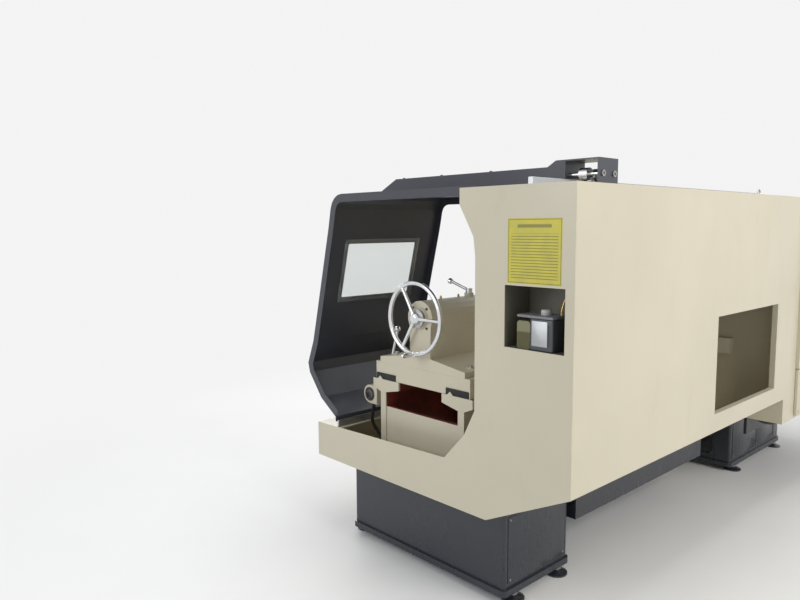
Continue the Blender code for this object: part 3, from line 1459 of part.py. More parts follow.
def control_box(front):
    """The operator's box on the head cover, with its recessed screen and keypad and its buttons."""
    x_tail = from_tail(CONTROL_FROM_TAIL)
    x_head = x_tail - CONTROL_LENGTH
    back = front - GAP
    face = back - CONTROL_DEPTH
    top = CONTROL_LOW + CONTROL_HEIGHT
    outline = (
        (back, CONTROL_LOW),
        (back, top),
        (face + 0.03, top),
        (face, top - 0.03),
        (face, CONTROL_LOW + 0.04),
        (face + 0.05, CONTROL_LOW),
    )
    body = bevel(plate("YZ", (x_head, x_tail), outline), CONTROL_ROUND / 3, 1)
    row_high = top - 0.05
    screen_x = (x_head + 0.05, x_head + 0.05 + SCREEN_WIDTH)
    screen = box(screen_x, (face - 0.01, face + SCREEN_RECESS), (row_high - SCREEN_HEIGHT, row_high))
    keys_x = (screen_x[1] + 0.04, screen_x[1] + 0.04 + KEYPAD_WIDTH)
    keys = box(keys_x, (face - 0.01, face + SCREEN_RECESS / 2), (row_high - SCREEN_HEIGHT, row_high))
    row = CONTROL_LOW + 0.13
    holes = []
    places = {}
    first = x_head + 0.06
    for index, (name, radius, depth) in enumerate(
        (
            ("start_button", BUTTON_RADIUS, 0.02),
            ("stop_button", BUTTON_RADIUS, 0.02),
            ("override_knob", STEM_RADIUS, 0.02),
            ("pulse_dial", STEM_RADIUS, 0.02),
            ("emergency_stop", STEM_RADIUS, 0.03),
        )
    ):
        x = first + index * (BUTTON_PITCH + 0.045)
        places[name] = Vector((x, face, row))
        holes.append(cylinder(radius + GAP, "Y", (x, face - 0.01, row), depth + 0.01, 20))
    part("control_box", cut(body, screen, keys, *holes), CREAM)
    for name, colour in (("start_button", GREEN), ("stop_button", RED)):
        profile = (
            (0, BUTTON_TRAVEL + 0.004),
            (BUTTON_RADIUS, BUTTON_TRAVEL + 0.004),
            (BUTTON_RADIUS, -BUTTON_PROUD + 0.002),
            (BUTTON_RADIUS - 0.002, -BUTTON_PROUD),
            (0, -BUTTON_PROUD),
        )
        part(name, turned(profile, "Y", places[name], 20), colour)
    knob = (
        (0, 0.014),
        (STEM_RADIUS, 0.014),
        (STEM_RADIUS, -GAP),
        (KNOB_RADIUS, -GAP),
        (KNOB_RADIUS, -0.004),
        (KNOB_RADIUS * 0.8, -0.006),
        (KNOB_RADIUS * 0.7, -0.020),
        (0, -0.020),
    )
    part("override_knob", turned(knob, "Y", places["override_knob"], 20), BLACK)
    dial = (
        (0, 0.014),
        (STEM_RADIUS, 0.014),
        (STEM_RADIUS, -GAP),
        (DIAL_RADIUS, -GAP),
        (DIAL_RADIUS, -0.008),
        (DIAL_RADIUS - 0.003, -0.012),
        (DIAL_RADIUS * 0.45, -0.012),
        (DIAL_RADIUS * 0.40, -0.018),
        (0, -0.018),
    )
    part("pulse_dial", turned(dial, "Y", places["pulse_dial"], 28), BLACK)
    stop = (
        (0, 0.020),
        (STEM_RADIUS, 0.020),
        (STEM_RADIUS, -STOP_TRAVEL - 0.004),
        (STOP_RADIUS * 0.8, -STOP_TRAVEL - 0.004),
        (STOP_RADIUS, -STOP_TRAVEL - 0.010),
        (STOP_RADIUS, -STOP_TRAVEL - 0.015),
        (STOP_RADIUS * 0.75, -STOP_TRAVEL - 0.020),
        (0, -STOP_TRAVEL - 0.021),
    )
    part("emergency_stop", turned(stop, "Y", places["emergency_stop"], 24), RED)


def z_screw_line():
    return AXIS_Y - BED_WIDTH / 2 - Z_SCREW_BEFORE_BED, WAY_TOP - Z_SCREW_DROP


def carriage():
    """Saddle, apron, cross slide, cross screw with its motor, and the four-way tool turret."""
    x = from_tail(CARRIAGE_FROM_TAIL)
    span = (x - SADDLE_LENGTH / 2, x + SADDLE_LENGTH / 2)
    rear = AXIS_Y + BED_WIDTH / 2 + SADDLE_REAR_OVERHANG
    front = AXIS_Y - BED_WIDTH / 2 - SADDLE_WING
    top = WAY_TOP + SADDLE_THICKNESS
    line = way_line(GAP)
    wing = WAY_TOP - WING_DROP
    bed_front = AXIS_Y - BED_WIDTH / 2 - WING_GAP
    outline = [(rear, top), (rear, line[0][1]), *line[1:-1]]
    outline += [(bed_front, line[0][1]), (bed_front, wing)]
    outline += [(front, wing), (front, top - 0.02), (front + 0.02, top)]
    saddle = plate("YZ", span, outline)
    half_top, half_low = DOVETAIL_TOP / 2, DOVETAIL_BOTTOM / 2
    tongue = AXIS_Y - BED_WIDTH / 2 - SADDLE_TONGUE
    ridge = plate(
        "XZ",
        (tongue, rear - SHEET),
        (
            (x - half_low, top - TONGUE_THICKNESS),
            (x + half_low, top - TONGUE_THICKNESS),
            (x + half_low, top),
            (x + half_top, top + DOVETAIL_HEIGHT),
            (x - half_top, top + DOVETAIL_HEIGHT),
            (x - half_low, top),
        ),
    )
    screw_z = top - X_SCREW_DROP
    bearing = 0.030
    channel = box(
        (x - CHANNEL_HALF, x + CHANNEL_HALF),
        (rear - 0.02, tongue + bearing),
        (top - CHANNEL_DEPTH, top + 0.05),
    )
    screw_hole = cylinder(X_SCREW_RADIUS + GAP, "Y", (x, tongue - 0.01, screw_z), 0.06, 20)
    screw_y, screw_height = z_screw_line()
    apron_x = (x - APRON_LENGTH / 2, x + APRON_LENGTH / 2)
    apron = box(apron_x, (bed_front, front + SHEET), (wing - APRON_HEIGHT, wing + BOOLEAN_REACH))
    bore_start = (apron_x[0] - 0.01, screw_y, screw_height)
    bore = cylinder(Z_SCREW_RADIUS + GAP, "X", bore_start, APRON_LENGTH + 0.02)
    part("saddle", cut(join(saddle, ridge, apron), channel, screw_hole, bore), CREAM)
    # Cross slide, on the dovetail with a nut reaching down to the screw
    slide_low = top + GAP
    slide_top = top + CROSS_SLIDE_HEIGHT
    y_front = AXIS_Y - CROSS_SLIDE_FRONT
    slide_y = (y_front, y_front + CROSS_SLIDE_LENGTH)
    half = CROSS_SLIDE_WIDTH / 2
    slide = plate("XZ", slide_y, (
        (x - half, slide_low),
        (x - half_low - GAP * 2, slide_low),
        (x - half_top - GAP * 2, top + DOVETAIL_HEIGHT + GAP),
        (x + half_top + GAP * 2, top + DOVETAIL_HEIGHT + GAP),
        (x + half_low + GAP * 2, slide_low),
        (x + half, slide_low),
        (x + half, slide_top),
        (x - half, slide_top),
    ))
    nut_y = sum(slide_y) / 2
    nut = box(
        (x - CHANNEL_HALF + GAP * 3, x + CHANNEL_HALF - GAP * 3),
        (nut_y - NUT_LENGTH / 2, nut_y + NUT_LENGTH / 2),
        (top - CHANNEL_DEPTH + GAP * 3, top + DOVETAIL_HEIGHT + BOOLEAN_REACH),
    )
    nut_hole = cylinder(X_SCREW_RADIUS + GAP, "Y", (x, nut_y - NUT_LENGTH, screw_z), NUT_LENGTH * 2, 20)
    slots = []
    for offset in (-SLOT_FROM_MIDDLE, SLOT_FROM_MIDDLE):
        slot_x = (x + offset - SLOT_WIDTH / 2, x + offset + SLOT_WIDTH / 2)
        slot_y = (slide_y[0] - 0.01, slide_y[1] + 0.01)
        slots.append(box(slot_x, slot_y, (slide_top - SLOT_DEPTH, slide_top + 0.01)))
    part("cross_slide", cut(join(slide, nut), nut_hole, *slots), GROUND)
    screw_start = tongue
    x_screw = cylinder(X_SCREW_RADIUS, "Y", (x, screw_start, screw_z), rear - 0.022 - screw_start, 20)
    part("x_screw", x_screw, GROUND, (x, tongue, screw_z))
    servo("x_motor", "Y", (x, tongue - GAP, screw_z), -X_SERVO_LENGTH)
    turret(x, slide_top)
    return x


def servo(name, axis, start, length):
    """A square servo motor: flange, body and encoder cap, from its mounting face outwards."""
    sign = 1 if length > 0 else -1
    half = SERVO_SIDE / 2
    start = Vector(start)

    def block(near, far, size, rounding):
        limits = {}
        for key, value in PLANE_NORMAL.items():
            middle = start.dot(value)
            if key == axis:
                limits[key] = (middle + sign * near, middle + sign * far)
            else:
                limits[key] = (middle - size, middle + size)
        return box(limits["X"], limits["Y"], limits["Z"], rounding)

    flange = block(0, 0.012, half, 0.004)
    body = block(0.010, abs(length) * 0.72, half * 0.90, 0.006)
    cap = block(abs(length) * 0.72 - BOOLEAN_REACH, abs(length), half * 0.72, 0.008)
    part(name, join(flange, body, cap), BLACK)


def turret(x, seat):
    """A four-way tool post: a fixed base, a head slotted on its four sides, and a tool in each slot."""
    y = AXIS_Y - TURRET_BEFORE_AXIS
    half = TURRET_SIDE / 2
    slot_low = AXIS_Z - TOOL_SIDE - GAP
    head_low = slot_low - 0.030
    base = box((x - half, x + half), (y - half, y + half), (seat + GAP, head_low - GAP), 0.006)
    part("turret_base", base, CAST)
    head_top = head_low + TURRET_HEAD_HEIGHT
    head = box((x - half, x + half), (y - half, y + half), (head_low, head_top), 0.004)
    slot_high = slot_low + TOOL_SIDE + 0.012
    depth = TOOL_SLOT_DEPTH
    slots = (
        box((x - half - 0.01, x + half + 0.01), (y - half - 0.01, y - half + depth), (slot_low, slot_high)),
        box((x - half - 0.01, x + half + 0.01), (y + half + 0.01, y + half - depth), (slot_low, slot_high)),
        box((x - half - 0.01, x - half + depth), (y - half - 0.01, y + half + 0.01), (slot_low, slot_high)),
        box((x + half + 0.01, x + half - depth), (y - half - 0.01, y + half + 0.01), (slot_low, slot_high)),
    )
    nut = cylinder(0.024, "Z", (x, y, head_top - BOOLEAN_REACH), 0.026, 6)
    centre = Vector((x, y, 0))
    inner = half - depth - BOOLEAN_REACH / 2
    tools = []
    for index in range(4):
        end = half + TOOL_OVERHANG
        bar = plate(
            "XY",
            (slot_low + GAP, slot_low + GAP + TOOL_SIDE),
            (
                (x + end - TOOL_LENGTH, y + inner),
                (x + end, y + inner),
                (x + end, y + inner + TOOL_SIDE * 0.35),
                (x + end - TOOL_SIDE * 0.8, y + inner + TOOL_SIDE),
                (x + end - TOOL_LENGTH, y + inner + TOOL_SIDE),
            ),
        )
        turn = Matrix.Rotation(index * FULL_TURN / 4, 4, "Z")
        bar.data.transform(Matrix.Translation(centre) @ turn @ Matrix.Translation(-centre))
        tools.append(bar)
    shape = join(cut(head, *slots), nut, *tools)
    part("turret_head", shape, GROUND, centre + Vector((0, 0, head_low)))


def z_drive():
    """The Z screw along the bed's front in a bearing bracket at each end, its motor and its conduit."""
    y, z = z_screw_line()
    face = AXIS_Y - BED_WIDTH / 2 - GAP
    radius = Z_BRACKET_ROUND
    starts = (from_tail(Z_BRACKET_FROM_TAIL), from_tail(Z_SCREW_END) + Z_BRACKET_LENGTH)
    for name, start in zip(("screw_bracket_tail", "screw_bracket_head"), starts):
        outline = [(face, z - radius), (face, z + radius)]
        for step in range(9):
            angle = math.radians(90 + 180 * step / 8)
            outline.append((y + radius * math.cos(angle), z + radius * math.sin(angle)))
        span = (start - Z_BRACKET_LENGTH, start)
        part(name, plate("YZ", span, outline, circle(y, z, Z_SCREW_RADIUS + GAP)), CREAM)
    start = from_tail(Z_SCREW_END)
    screw = cylinder(Z_SCREW_RADIUS, "X", (start, y, z), starts[0] + 0.005 - start)
    part("z_screw", screw, GROUND, (start, y, z))
    servo("z_motor", "X", (start - GAP, y, z), -SERVO_LENGTH)
    # Conduit from the tail bracket down into the tray
    top = z - radius - GAP
    foot = TRAY_FLOOR + SHEET + GAP
    x_top = starts[0] - Z_BRACKET_LENGTH / 2
    route = []
    count = 14
    for step in range(count + 1):
        share = step / count
        lean = math.sin(math.pi / 2 * share) ** 2
        swing = 0.055 * math.sin(math.pi * share) ** 2
        route.append((x_top - 0.09 * lean, y - swing, top + (foot + 0.012 - top) * share))
    route.insert(0, (route[0][0], route[0][1], top))
    route[1] = (route[0][0], route[0][1], top - 0.006)
    route.append((route[-1][0], route[-1][1], foot))
    part("conduit", tube(route, CONDUIT_RADIUS), RUBBER)


def tailstock():
    """Base and body on the ways, the quill in its bore, the live centre, the handwheel and two levers."""
    tail = from_tail(TAIL_BODY_FROM_TAIL)
    nose = tail - TAIL_BODY_LENGTH
    base_top = WAY_TOP + TAIL_BASE_HEIGHT
    half = TAIL_BASE_WIDTH / 2
    line = way_line(GAP)
    outline = [(AXIS_Y + half, base_top), (AXIS_Y + half, line[0][1]), *line[1:-1]]
    outline += [(AXIS_Y - half, line[0][1]), (AXIS_Y - half, base_top)]
    base = plate("YZ", (nose + 0.02, tail), outline)
    part("tailstock_base", base, CREAM)
    neck = TAIL_NECK / 2
    foot = base_top + GAP
    section = [(AXIS_Y - half + 0.03, foot), (AXIS_Y + half - 0.03, foot)]
    section.append((AXIS_Y + half - 0.03, foot + 0.025))
    section.append((AXIS_Y + neck * 0.62, foot + 0.055))
    for step in range(13):
        angle = math.radians(-30 + 240 * step / 12)
        section.append((AXIS_Y + BARREL_RADIUS * math.cos(angle), AXIS_Z + BARREL_RADIUS * math.sin(angle)))
    section.append((AXIS_Y - neck * 0.62, foot + 0.055))
    section.append((AXIS_Y - half + 0.03, foot + 0.025))
    body = plate("YZ", (nose, tail), section)
    lever_x = nose + 0.07
    boss_top = AXIS_Z + BARREL_RADIUS + 0.014
    boss = cylinder(0.022, "Z", (lever_x, AXIS_Y, AXIS_Z + BARREL_RADIUS - 0.02), 0.034, 20)
    rear_boss = cylinder(0.050, "X", (tail - BOOLEAN_REACH, AXIS_Y, AXIS_Z), 0.010 + BOOLEAN_REACH - PLAY)
    bore_length = TAIL_BODY_LENGTH - BARREL_WALL_LENGTH + 0.01
    bore = cylinder(QUILL_RADIUS + GAP, "X", (nose - 0.01, AXIS_Y, AXIS_Z), bore_length)
    screw_bore = cylinder(FEED_SCREW_RADIUS + GAP, "X", (tail - 0.1, AXIS_Y, AXIS_Z), 0.15, 20)
    part("tailstock_body", cut(join(body, boss, rear_boss), bore, screw_bore), CREAM)
    centre = Vector((0, AXIS_Y, AXIS_Z))
    quill_nose = nose - QUILL_OUT
    quill_tail = quill_nose + QUILL_LENGTH
    socket = CENTRE_SHANK + 0.004
    hollow_nose = quill_nose + socket
    screw_nose = tail - FEED_SCREW_LENGTH
    hollow_tail = screw_nose - 0.012
    quill = turned(
        (
            (0, quill_tail),
            (QUILL_RADIUS, quill_tail),
            (QUILL_RADIUS, quill_nose),
            (CENTRE_SHANK_RADIUS + GAP, quill_nose),
            (CENTRE_SHANK_RADIUS + GAP, hollow_nose),
            (0, hollow_nose),
        ),
        "X",
        centre,
    )
    rear_bore = cylinder(
        FEED_SCREW_RADIUS + GAP, "X", (hollow_tail, AXIS_Y, AXIS_Z), quill_tail - hollow_tail + PLAY, 20
    )
    quill = cut(baked(quill), rear_bore)
    part("quill", quill, GROUND)
    tip = quill_nose - CENTRE_BODY - CENTRE_RADIUS * 1.6
    live = turned(
        (
            (0, quill_nose + CENTRE_SHANK),
            (CENTRE_SHANK_RADIUS, quill_nose + CENTRE_SHANK),
            (CENTRE_SHANK_RADIUS, quill_nose - GAP),
            (CENTRE_RADIUS, quill_nose - GAP),
            (CENTRE_RADIUS, quill_nose - CENTRE_BODY),
            (CENTRE_RADIUS * 0.8, quill_nose - CENTRE_BODY - 0.003),
            (0, tip),
        ),
        "X",
        centre,
    )
    part("live_centre", live, GROUND)
    handwheel(tail, screw_nose)
    # Quill lever, upright pivot on the barrel
    seat = boss_top + GAP
    hub = cylinder(LEVER_HUB_RADIUS, "Z", (lever_x, AXIS_Y, seat), 0.022, 20)
    reach = Vector((lever_x, AXIS_Y - LEVER_LENGTH, seat + 0.050))
    rod = tube(((lever_x, AXIS_Y, seat + 0.011), tuple(reach)), LEVER_ROD)
    ball = sphere(reach, LEVER_BALL)
    part("quill_lever", join(hub, rod, ball), CHROME, (lever_x, AXIS_Y, seat))
    # Clamp lever, pivot across the base at its front
    clamp_x = tail - 0.10
    clamp_y = AXIS_Y - half - GAP
    clamp_z = WAY_TOP + TAIL_BASE_HEIGHT * 0.55
    hub = cylinder(LEVER_HUB_RADIUS, "Y", (clamp_x, clamp_y, clamp_z), -0.024, 20)
    reach = Vector((clamp_x - CLAMP_LENGTH * 0.35, clamp_y - 0.030, clamp_z + CLAMP_LENGTH * 0.9))
    rod = tube(((clamp_x, clamp_y - 0.012, clamp_z), tuple(reach)), LEVER_ROD)
    ball = sphere(reach, LEVER_BALL)
    part("clamp_lever", join(hub, rod, ball), CHROME, (clamp_x, clamp_y, clamp_z))


def sphere(centre, radius):
    mesh = bpy.data.meshes.new("ball")
    bm = bmesh.new()
    bmesh.ops.create_uvsphere(bm, u_segments=16, v_segments=10, radius=radius)
    bm.to_mesh(mesh)
    bm.free()
    mesh.transform(Matrix.Translation(centre))
    return helper(mesh)


def handwheel(body_tail, screw_nose):
    """The tailstock's handwheel with its feed screw, and the crank handle that spins on it."""
    x = from_tail(WHEEL_FROM_TAIL)
    centre = Vector((x, AXIS_Y, AXIS_Z))
    hub_start = body_tail + 0.010
    hub_end = x + 0.014
    hub = turned(
        (
            (0, hub_end - x),
            (WHEEL_HUB_RADIUS * 0.7, hub_end - x),
            (WHEEL_HUB_RADIUS, hub_end - x - 0.006),
            (WHEEL_HUB_RADIUS, hub_start - x),
            (FEED_SCREW_RADIUS, hub_start - x),
            (FEED_SCREW_RADIUS, screw_nose - x),
            (0, screw_nose - x),
        ),
        "X",
        centre,
        20,
    )
    ring = []
    for step in range(10):
        angle = math.pi / 2 - FULL_TURN * step / 10
        ring.append((WHEEL_RADIUS + RIM_RADIUS * math.cos(angle), RIM_RADIUS * math.sin(angle)))
    rim = turned(ring, "X", centre, 40, True)
    spokes = []
    for index in range(SPOKE_COUNT):
        angle = FULL_TURN * index / SPOKE_COUNT
        direction = Vector((0, math.cos(angle), math.sin(angle)))
        inner, outer = centre + direction * 0.012, centre + direction * WHEEL_RADIUS
        spokes.append(tube((tuple(inner), tuple(outer)), SPOKE_RADIUS))
    boss_centre = centre + Vector((0, 0, -WHEEL_RADIUS))
    boss = cylinder(0.015, "X", boss_centre + Vector((-0.011, 0, 0)), 0.024, 16)
    grip_start = boss_centre.x + 0.013 + GAP
    stud_hole = cylinder(0.005 + GAP, "X", boss_centre + Vector((-0.004, 0, 0)), 0.03, 12)
    wheel = cut(join(baked(hub), rim, boss, *spokes), stud_hole)
    part("handwheel", wheel, CHROME, centre)
    grip = turned(
        (
            (0, GRIP_LENGTH),
            (GRIP_RADIUS * 0.8, GRIP_LENGTH),
            (GRIP_RADIUS, GRIP_LENGTH * 0.85),
            (GRIP_RADIUS, GRIP_LENGTH * 0.55),
            (GRIP_RADIUS * 0.7, GRIP_LENGTH * 0.12),
            (GRIP_RADIUS * 0.7, 0),
            (0.005, 0),
            (0.005, -0.014),
            (0, -0.014),
        ),
        "X",
        (grip_start, boss_centre.y, boss_centre.z),
        16,
    )
    part("crank_handle", grip, CHROME)


tail_span = (from_tail(TAIL_PEDESTAL_INSET + TAIL_PEDESTAL_LENGTH), from_tail(TAIL_PEDESTAL_INSET))
head_span = (FRAME_HEAD + PEDESTAL_WALL, FRAME_HEAD + PEDESTAL_WALL + HEAD_PEDESTAL_LENGTH)
pedestal("pedestal_tail", *tail_span, "head")
pedestal("pedestal_head", *head_span, "tail")
chip_tray()
coolant_tank()
bed()
rear_guard()
end_panel()
lubricator()
hood()
hood_carrier()
rails()
cabinet()
control_gear()
cap_face = headstock()
spindle_set(cap_face)
belt()
main_motor()
cover_front = head_cover()
end_cover()
control_box(cover_front)
carriage()
z_drive()
tailstock()
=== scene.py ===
"""The looks of the lathe: materials, fine pieces, floor, lights and the camera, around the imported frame."""

import math

import bmesh
import bpy
from mathutils import Matrix, Quaternion, Vector


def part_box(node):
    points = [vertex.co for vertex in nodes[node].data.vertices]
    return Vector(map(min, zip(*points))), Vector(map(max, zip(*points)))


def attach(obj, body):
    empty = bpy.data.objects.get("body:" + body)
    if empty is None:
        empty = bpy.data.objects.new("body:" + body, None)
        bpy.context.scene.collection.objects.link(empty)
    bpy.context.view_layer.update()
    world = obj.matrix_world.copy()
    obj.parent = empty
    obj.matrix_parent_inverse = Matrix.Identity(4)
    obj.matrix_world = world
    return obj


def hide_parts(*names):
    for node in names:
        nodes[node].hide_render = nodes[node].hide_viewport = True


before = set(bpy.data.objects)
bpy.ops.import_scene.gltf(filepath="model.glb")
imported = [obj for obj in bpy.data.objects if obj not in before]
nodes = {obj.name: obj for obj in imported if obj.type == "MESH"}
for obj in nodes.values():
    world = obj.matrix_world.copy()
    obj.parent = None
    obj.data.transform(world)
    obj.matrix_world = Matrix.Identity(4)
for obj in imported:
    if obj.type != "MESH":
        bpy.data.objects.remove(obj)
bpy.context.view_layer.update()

X = Vector((1, 0, 0))
Y = Vector((0, 1, 0))
Z = Vector((0, 0, 1))

# Places in the frame, in metres
TAIL = 1.68
REAR = 0.775
AXIS_Y, AXIS_Z = -0.11, 1.1303
WAY_TOP = 0.8103
WAY_MIDDLE = 0.230
VEES = (AXIS_Y + 0.190, AXIS_Y - 0.270)
SCREW_Y, SCREW_Z = -0.482, WAY_TOP - 0.096
DOOR_FACE = 0.7933

# What keeps a piece off the face it sits on, and the angle from which an edge stays sharp
GAP = 0.0003
LIFT = 0.0002
SHARP = 33


# Materials


class Graph:
    """One material's node tree, with the few kinds of node used here."""

    def __init__(self, name, colour, rough, metal=0.0):
        self.material = bpy.data.materials.new(name)
        self.material.use_nodes = True
        self.material.diffuse_color = (*colour, 1)
        self.tree = self.material.node_tree
        self.shader = self.tree.nodes["Principled BSDF"]
        self.put("Base Color", (*colour, 1))
        self.put("Roughness", rough)
        self.put("Metallic", metal)
        self.place = self.node("ShaderNodeTexCoord", {}).outputs["Object"]

    def put(self, socket, value):
        self.shader.inputs[socket].default_value = value

    def to(self, socket, output):
        self.tree.links.new(output, self.shader.inputs[socket])

    def now(self, socket):
        """What feeds one of the shader's inputs so far."""
        return self.shader.inputs[socket].links[0].from_socket

    def node(self, kind, inputs, **settings):
        """A new node with its settings, each of its inputs a value or another node's output."""
        node = self.tree.nodes.new(kind)
        for key, value in settings.items():
            setattr(node, key, value)
        for key, value in inputs.items():
            if isinstance(value, bpy.types.NodeSocket):
                self.tree.links.new(value, node.inputs[key])
            else:
                node.inputs[key].default_value = value
        return node

    def scaled(self, factors):
        return self.node("ShaderNodeMapping", {"Vector": self.place, "Scale": factors}).outputs["Vector"]

    def noise(self, scale, detail=3.0, place=None, rough=0.55):
        inputs = {"Vector": place or self.place, "Scale": scale, "Detail": detail, "Roughness": rough}
        return self.node("ShaderNodeTexNoise", inputs).outputs["Fac"]

    def voronoi(self, scale, output="Distance"):
        return self.node("ShaderNodeTexVoronoi", {"Vector": self.place, "Scale": scale}).outputs[output]

    def ramp(self, value, low, high, out_low=0.0, out_high=1.0, **settings):
        inputs = {"Value": value, "From Min": low, "From Max": high, "To Min": out_low, "To Max": out_high}
        return self.node("ShaderNodeMapRange", inputs, **settings).outputs["Result"]

    def math(self, operation, *values):
        return self.node("ShaderNodeMath", dict(enumerate(values)), operation=operation).outputs[0]

    def product(self, first, *others):
        for other in others:
            first = self.math("MULTIPLY", first, other)
        return first

    def length(self, one, two):
        squares = [self.product(value, value) for value in (one, two)]
        return self.math("SQRT", self.math("ADD", *squares))

    def turn(self, across, up):
        """How far round a circle a place lies, as a share of a turn."""
        return self.math("DIVIDE", self.math("ARCTAN2", up, across), 2 * math.pi)

    def marks(self, place, number, width):
        """1 on equal marks, this many to each 1 of a place, each as wide as this share of its step."""
        return self.math("LESS_THAN", self.math("FRACT", self.product(place, number)), width)

    def within(self, value, low, high):
        """1 where a coordinate lies between two limits."""
        above = self.math("GREATER_THAN", value, low)
        return self.product(above, self.math("LESS_THAN", value, high))

    def mix(self, share, one, two):
        """The blend of two colours, each a tuple or another node's output."""
        one, two = ((*value, 1) if isinstance(value, tuple) else value for value in (one, two))
        return self.node("ShaderNodeMix", {0: share, 6: one, 7: two}, data_type="RGBA").outputs[2]

    def bump(self, height, strength, distance, after=None):
        inputs = {"Height": height, "Strength": strength, "Distance": distance}
        if after is not None:
            inputs["Normal"] = after
        return self.node("ShaderNodeBump", inputs).outputs["Normal"]

    def split(self, vector=None):
        """The x, y and z of a vector, or of the place."""
        return self.node("ShaderNodeSeparateXYZ", {"Vector": vector or self.place}).outputs


def darker(colour, share):
    return tuple(part * share for part in colour)


def painted(name, colour, rough=0.40, worn=0.35, peel=0.25, dirt=0.5, wave=0.35):
    """Sprayed enamel: a fine orange peel, broad unevenness of the sheet under it, handling marks and dust."""
    g = Graph(name, colour, rough)
    broad = g.noise(1.7, 2)
    smears = g.noise(6, 6, g.scaled((1, 1, 0.35)), 0.65)
    grimy = (colour[0] * 0.50, colour[1] * 0.46, colour[2] * 0.40)
    base = g.mix(g.ramp(broad, 0.3, 0.7, 0, 0.35), colour, darker(colour, 0.80))
    base = g.mix(g.ramp(smears, 0.60, 0.80, 0, 0.30 * dirt), base, grimy)
    base = g.mix(g.ramp(g.voronoi(22), 0.035, 0.02, 0, 0.45 * worn), base, grimy)
    g.to("Base Color", base)
    g.to("Roughness", g.ramp(smears, 0.3, 0.8, rough - 0.06, rough + 0.16))
    fine = g.bump(g.noise(420, 2), peel, 0.0006)
    g.to("Normal", g.bump(broad, wave, 0.012, fine))
    g.put("Coat Weight", 0.25)
    g.put("Coat Roughness", 0.18)
    return g


def ground(name, colour, rough=0.24, along=(4, 260, 260)):
    """Ground or turned steel with a fine lay, faint stains and an oily sheen."""
    g = Graph(name, colour, rough, 1.0)
    lay = g.noise(3, 4, g.scaled(along))
    stain = g.noise(14, 5)
    base = g.mix(g.ramp(lay, 0.3, 0.7, 0, 0.5), colour, darker(colour, 0.72))
    g.to("Base Color", g.mix(g.ramp(stain, 0.55, 0.75, 0, 0.35), base, (0.20, 0.16, 0.11)))
    g.to("Roughness", g.ramp(stain, 0.3, 0.75, rough, rough + 0.20))
    g.to("Normal", g.bump(lay, 0.18, 0.0004))
    return g


def cast(name, colour, rough=0.58, metal=0.7):
    """Bare castings, patchy and with an open grain."""
    g = Graph(name, colour, rough, metal)
    grain = g.noise(240, 4)
    g.to("Base Color", g.mix(g.ramp(g.noise(9, 4), 0.35, 0.7, 0, 0.6), colour, darker(colour, 0.6)))
    g.to("Roughness", g.ramp(grain, 0.3, 0.7, rough - 0.1, rough + 0.15))
    g.to("Normal", g.bump(grain, 0.6, 0.0012))
    return g


def chrome(name, colour=(0.74, 0.75, 0.77), rough=0.09):
    """Chrome plate under a haze of oil and fingers."""
    g = Graph(name, colour, rough, 1.0)
    haze = g.noise(30, 5)
    g.to("Roughness", g.ramp(haze, 0.35, 0.75, rough, rough + 0.16))
    g.to("Base Color", g.mix(g.ramp(haze, 0.45, 0.8, 0, 0.4), colour, (0.46, 0.44, 0.41)))
    g.to("Normal", g.bump(g.noise(90, 3), 0.05, 0.0004))
    return g


def plastic(name, colour, rough=0.42, grain=0.2):
    """Moulded plastic with a fine grain and paler scuffs."""
    g = Graph(name, colour, rough)
    scuff = g.noise(35, 5)
    paler = tuple(min(1, part * 1.5 + 0.02) for part in colour)
    g.to("Base Color", g.mix(g.ramp(scuff, 0.5, 0.8, 0, 0.3), colour, paler))
    g.to("Roughness", g.ramp(scuff, 0.3, 0.8, rough - 0.06, rough + 0.15))
    g.to("Normal", g.bump(g.noise(900, 2), grain, 0.0003))
    return g


def rubbery(name, colour=(0.018, 0.018, 0.019)):
    """Dusty black rubber."""
    g = Graph(name, colour, 0.78)
    g.to("Base Color", g.mix(g.ramp(g.noise(24, 6), 0.5, 0.8, 0, 0.45), colour, (0.075, 0.070, 0.062)))
    g.to("Normal", g.bump(g.noise(500, 3), 0.35, 0.0006))
    return g


def galvanised(name):
    """Zinc-coated sheet with its spangle."""
    g = Graph(name, (0.44, 0.45, 0.46), 0.42, 0.9)
    spangle = g.node("ShaderNodeRGBToBW", {0: g.voronoi(90, "Color")}).outputs[0]
    g.to("Base Color", g.mix(g.ramp(spangle, 0.2, 0.8, 0, 0.7), (0.50, 0.51, 0.52), (0.30, 0.31, 0.32)))
    g.to("Roughness", g.ramp(spangle, 0.2, 0.8, 0.34, 0.55))
    g.to("Normal", g.bump(g.noise(300, 2), 0.15, 0.0004))
    return g


CREAM_TONE = (0.625, 0.572, 0.435)
BLACK_PLASTIC_TONE = (0.020, 0.020, 0.022)
TURNED_LAY = (260, 14, 14)

cream = painted("cream_enamel", CREAM_TONE)
charcoal = painted("charcoal_enamel", (0.040, 0.043, 0.058), 0.36, 0.3, 0.25, 0.6)
pedestal_paint = painted("pedestal_enamel", (0.022, 0.025, 0.035), 0.27, 0.3, 0.2, 0.6, 0.10)
black = painted("black_enamel", (0.016, 0.016, 0.018), 0.48, 0.5, 0.4, 0.9)
dark_grey = painted("dark_grey_enamel", (0.055, 0.058, 0.064), 0.46, 0.3, 0.4, 0.5)
steel = ground("ground_steel", (0.52, 0.53, 0.54))
steel_turned = ground("turned_steel", (0.52, 0.53, 0.55), 0.20, TURNED_LAY)
dark_steel = ground("blackened_steel", (0.11, 0.11, 0.12), 0.38)
bright = chrome("chrome_plate")
iron = cast("cast_iron", (0.26, 0.27, 0.27))
zinc = galvanised("galvanised_sheet")
rubber = rubbery("black_rubber")
black_plastic = plastic("black_plastic", BLACK_PLASTIC_TONE)
grey_plastic = plastic("grey_plastic", (0.20, 0.20, 0.21))
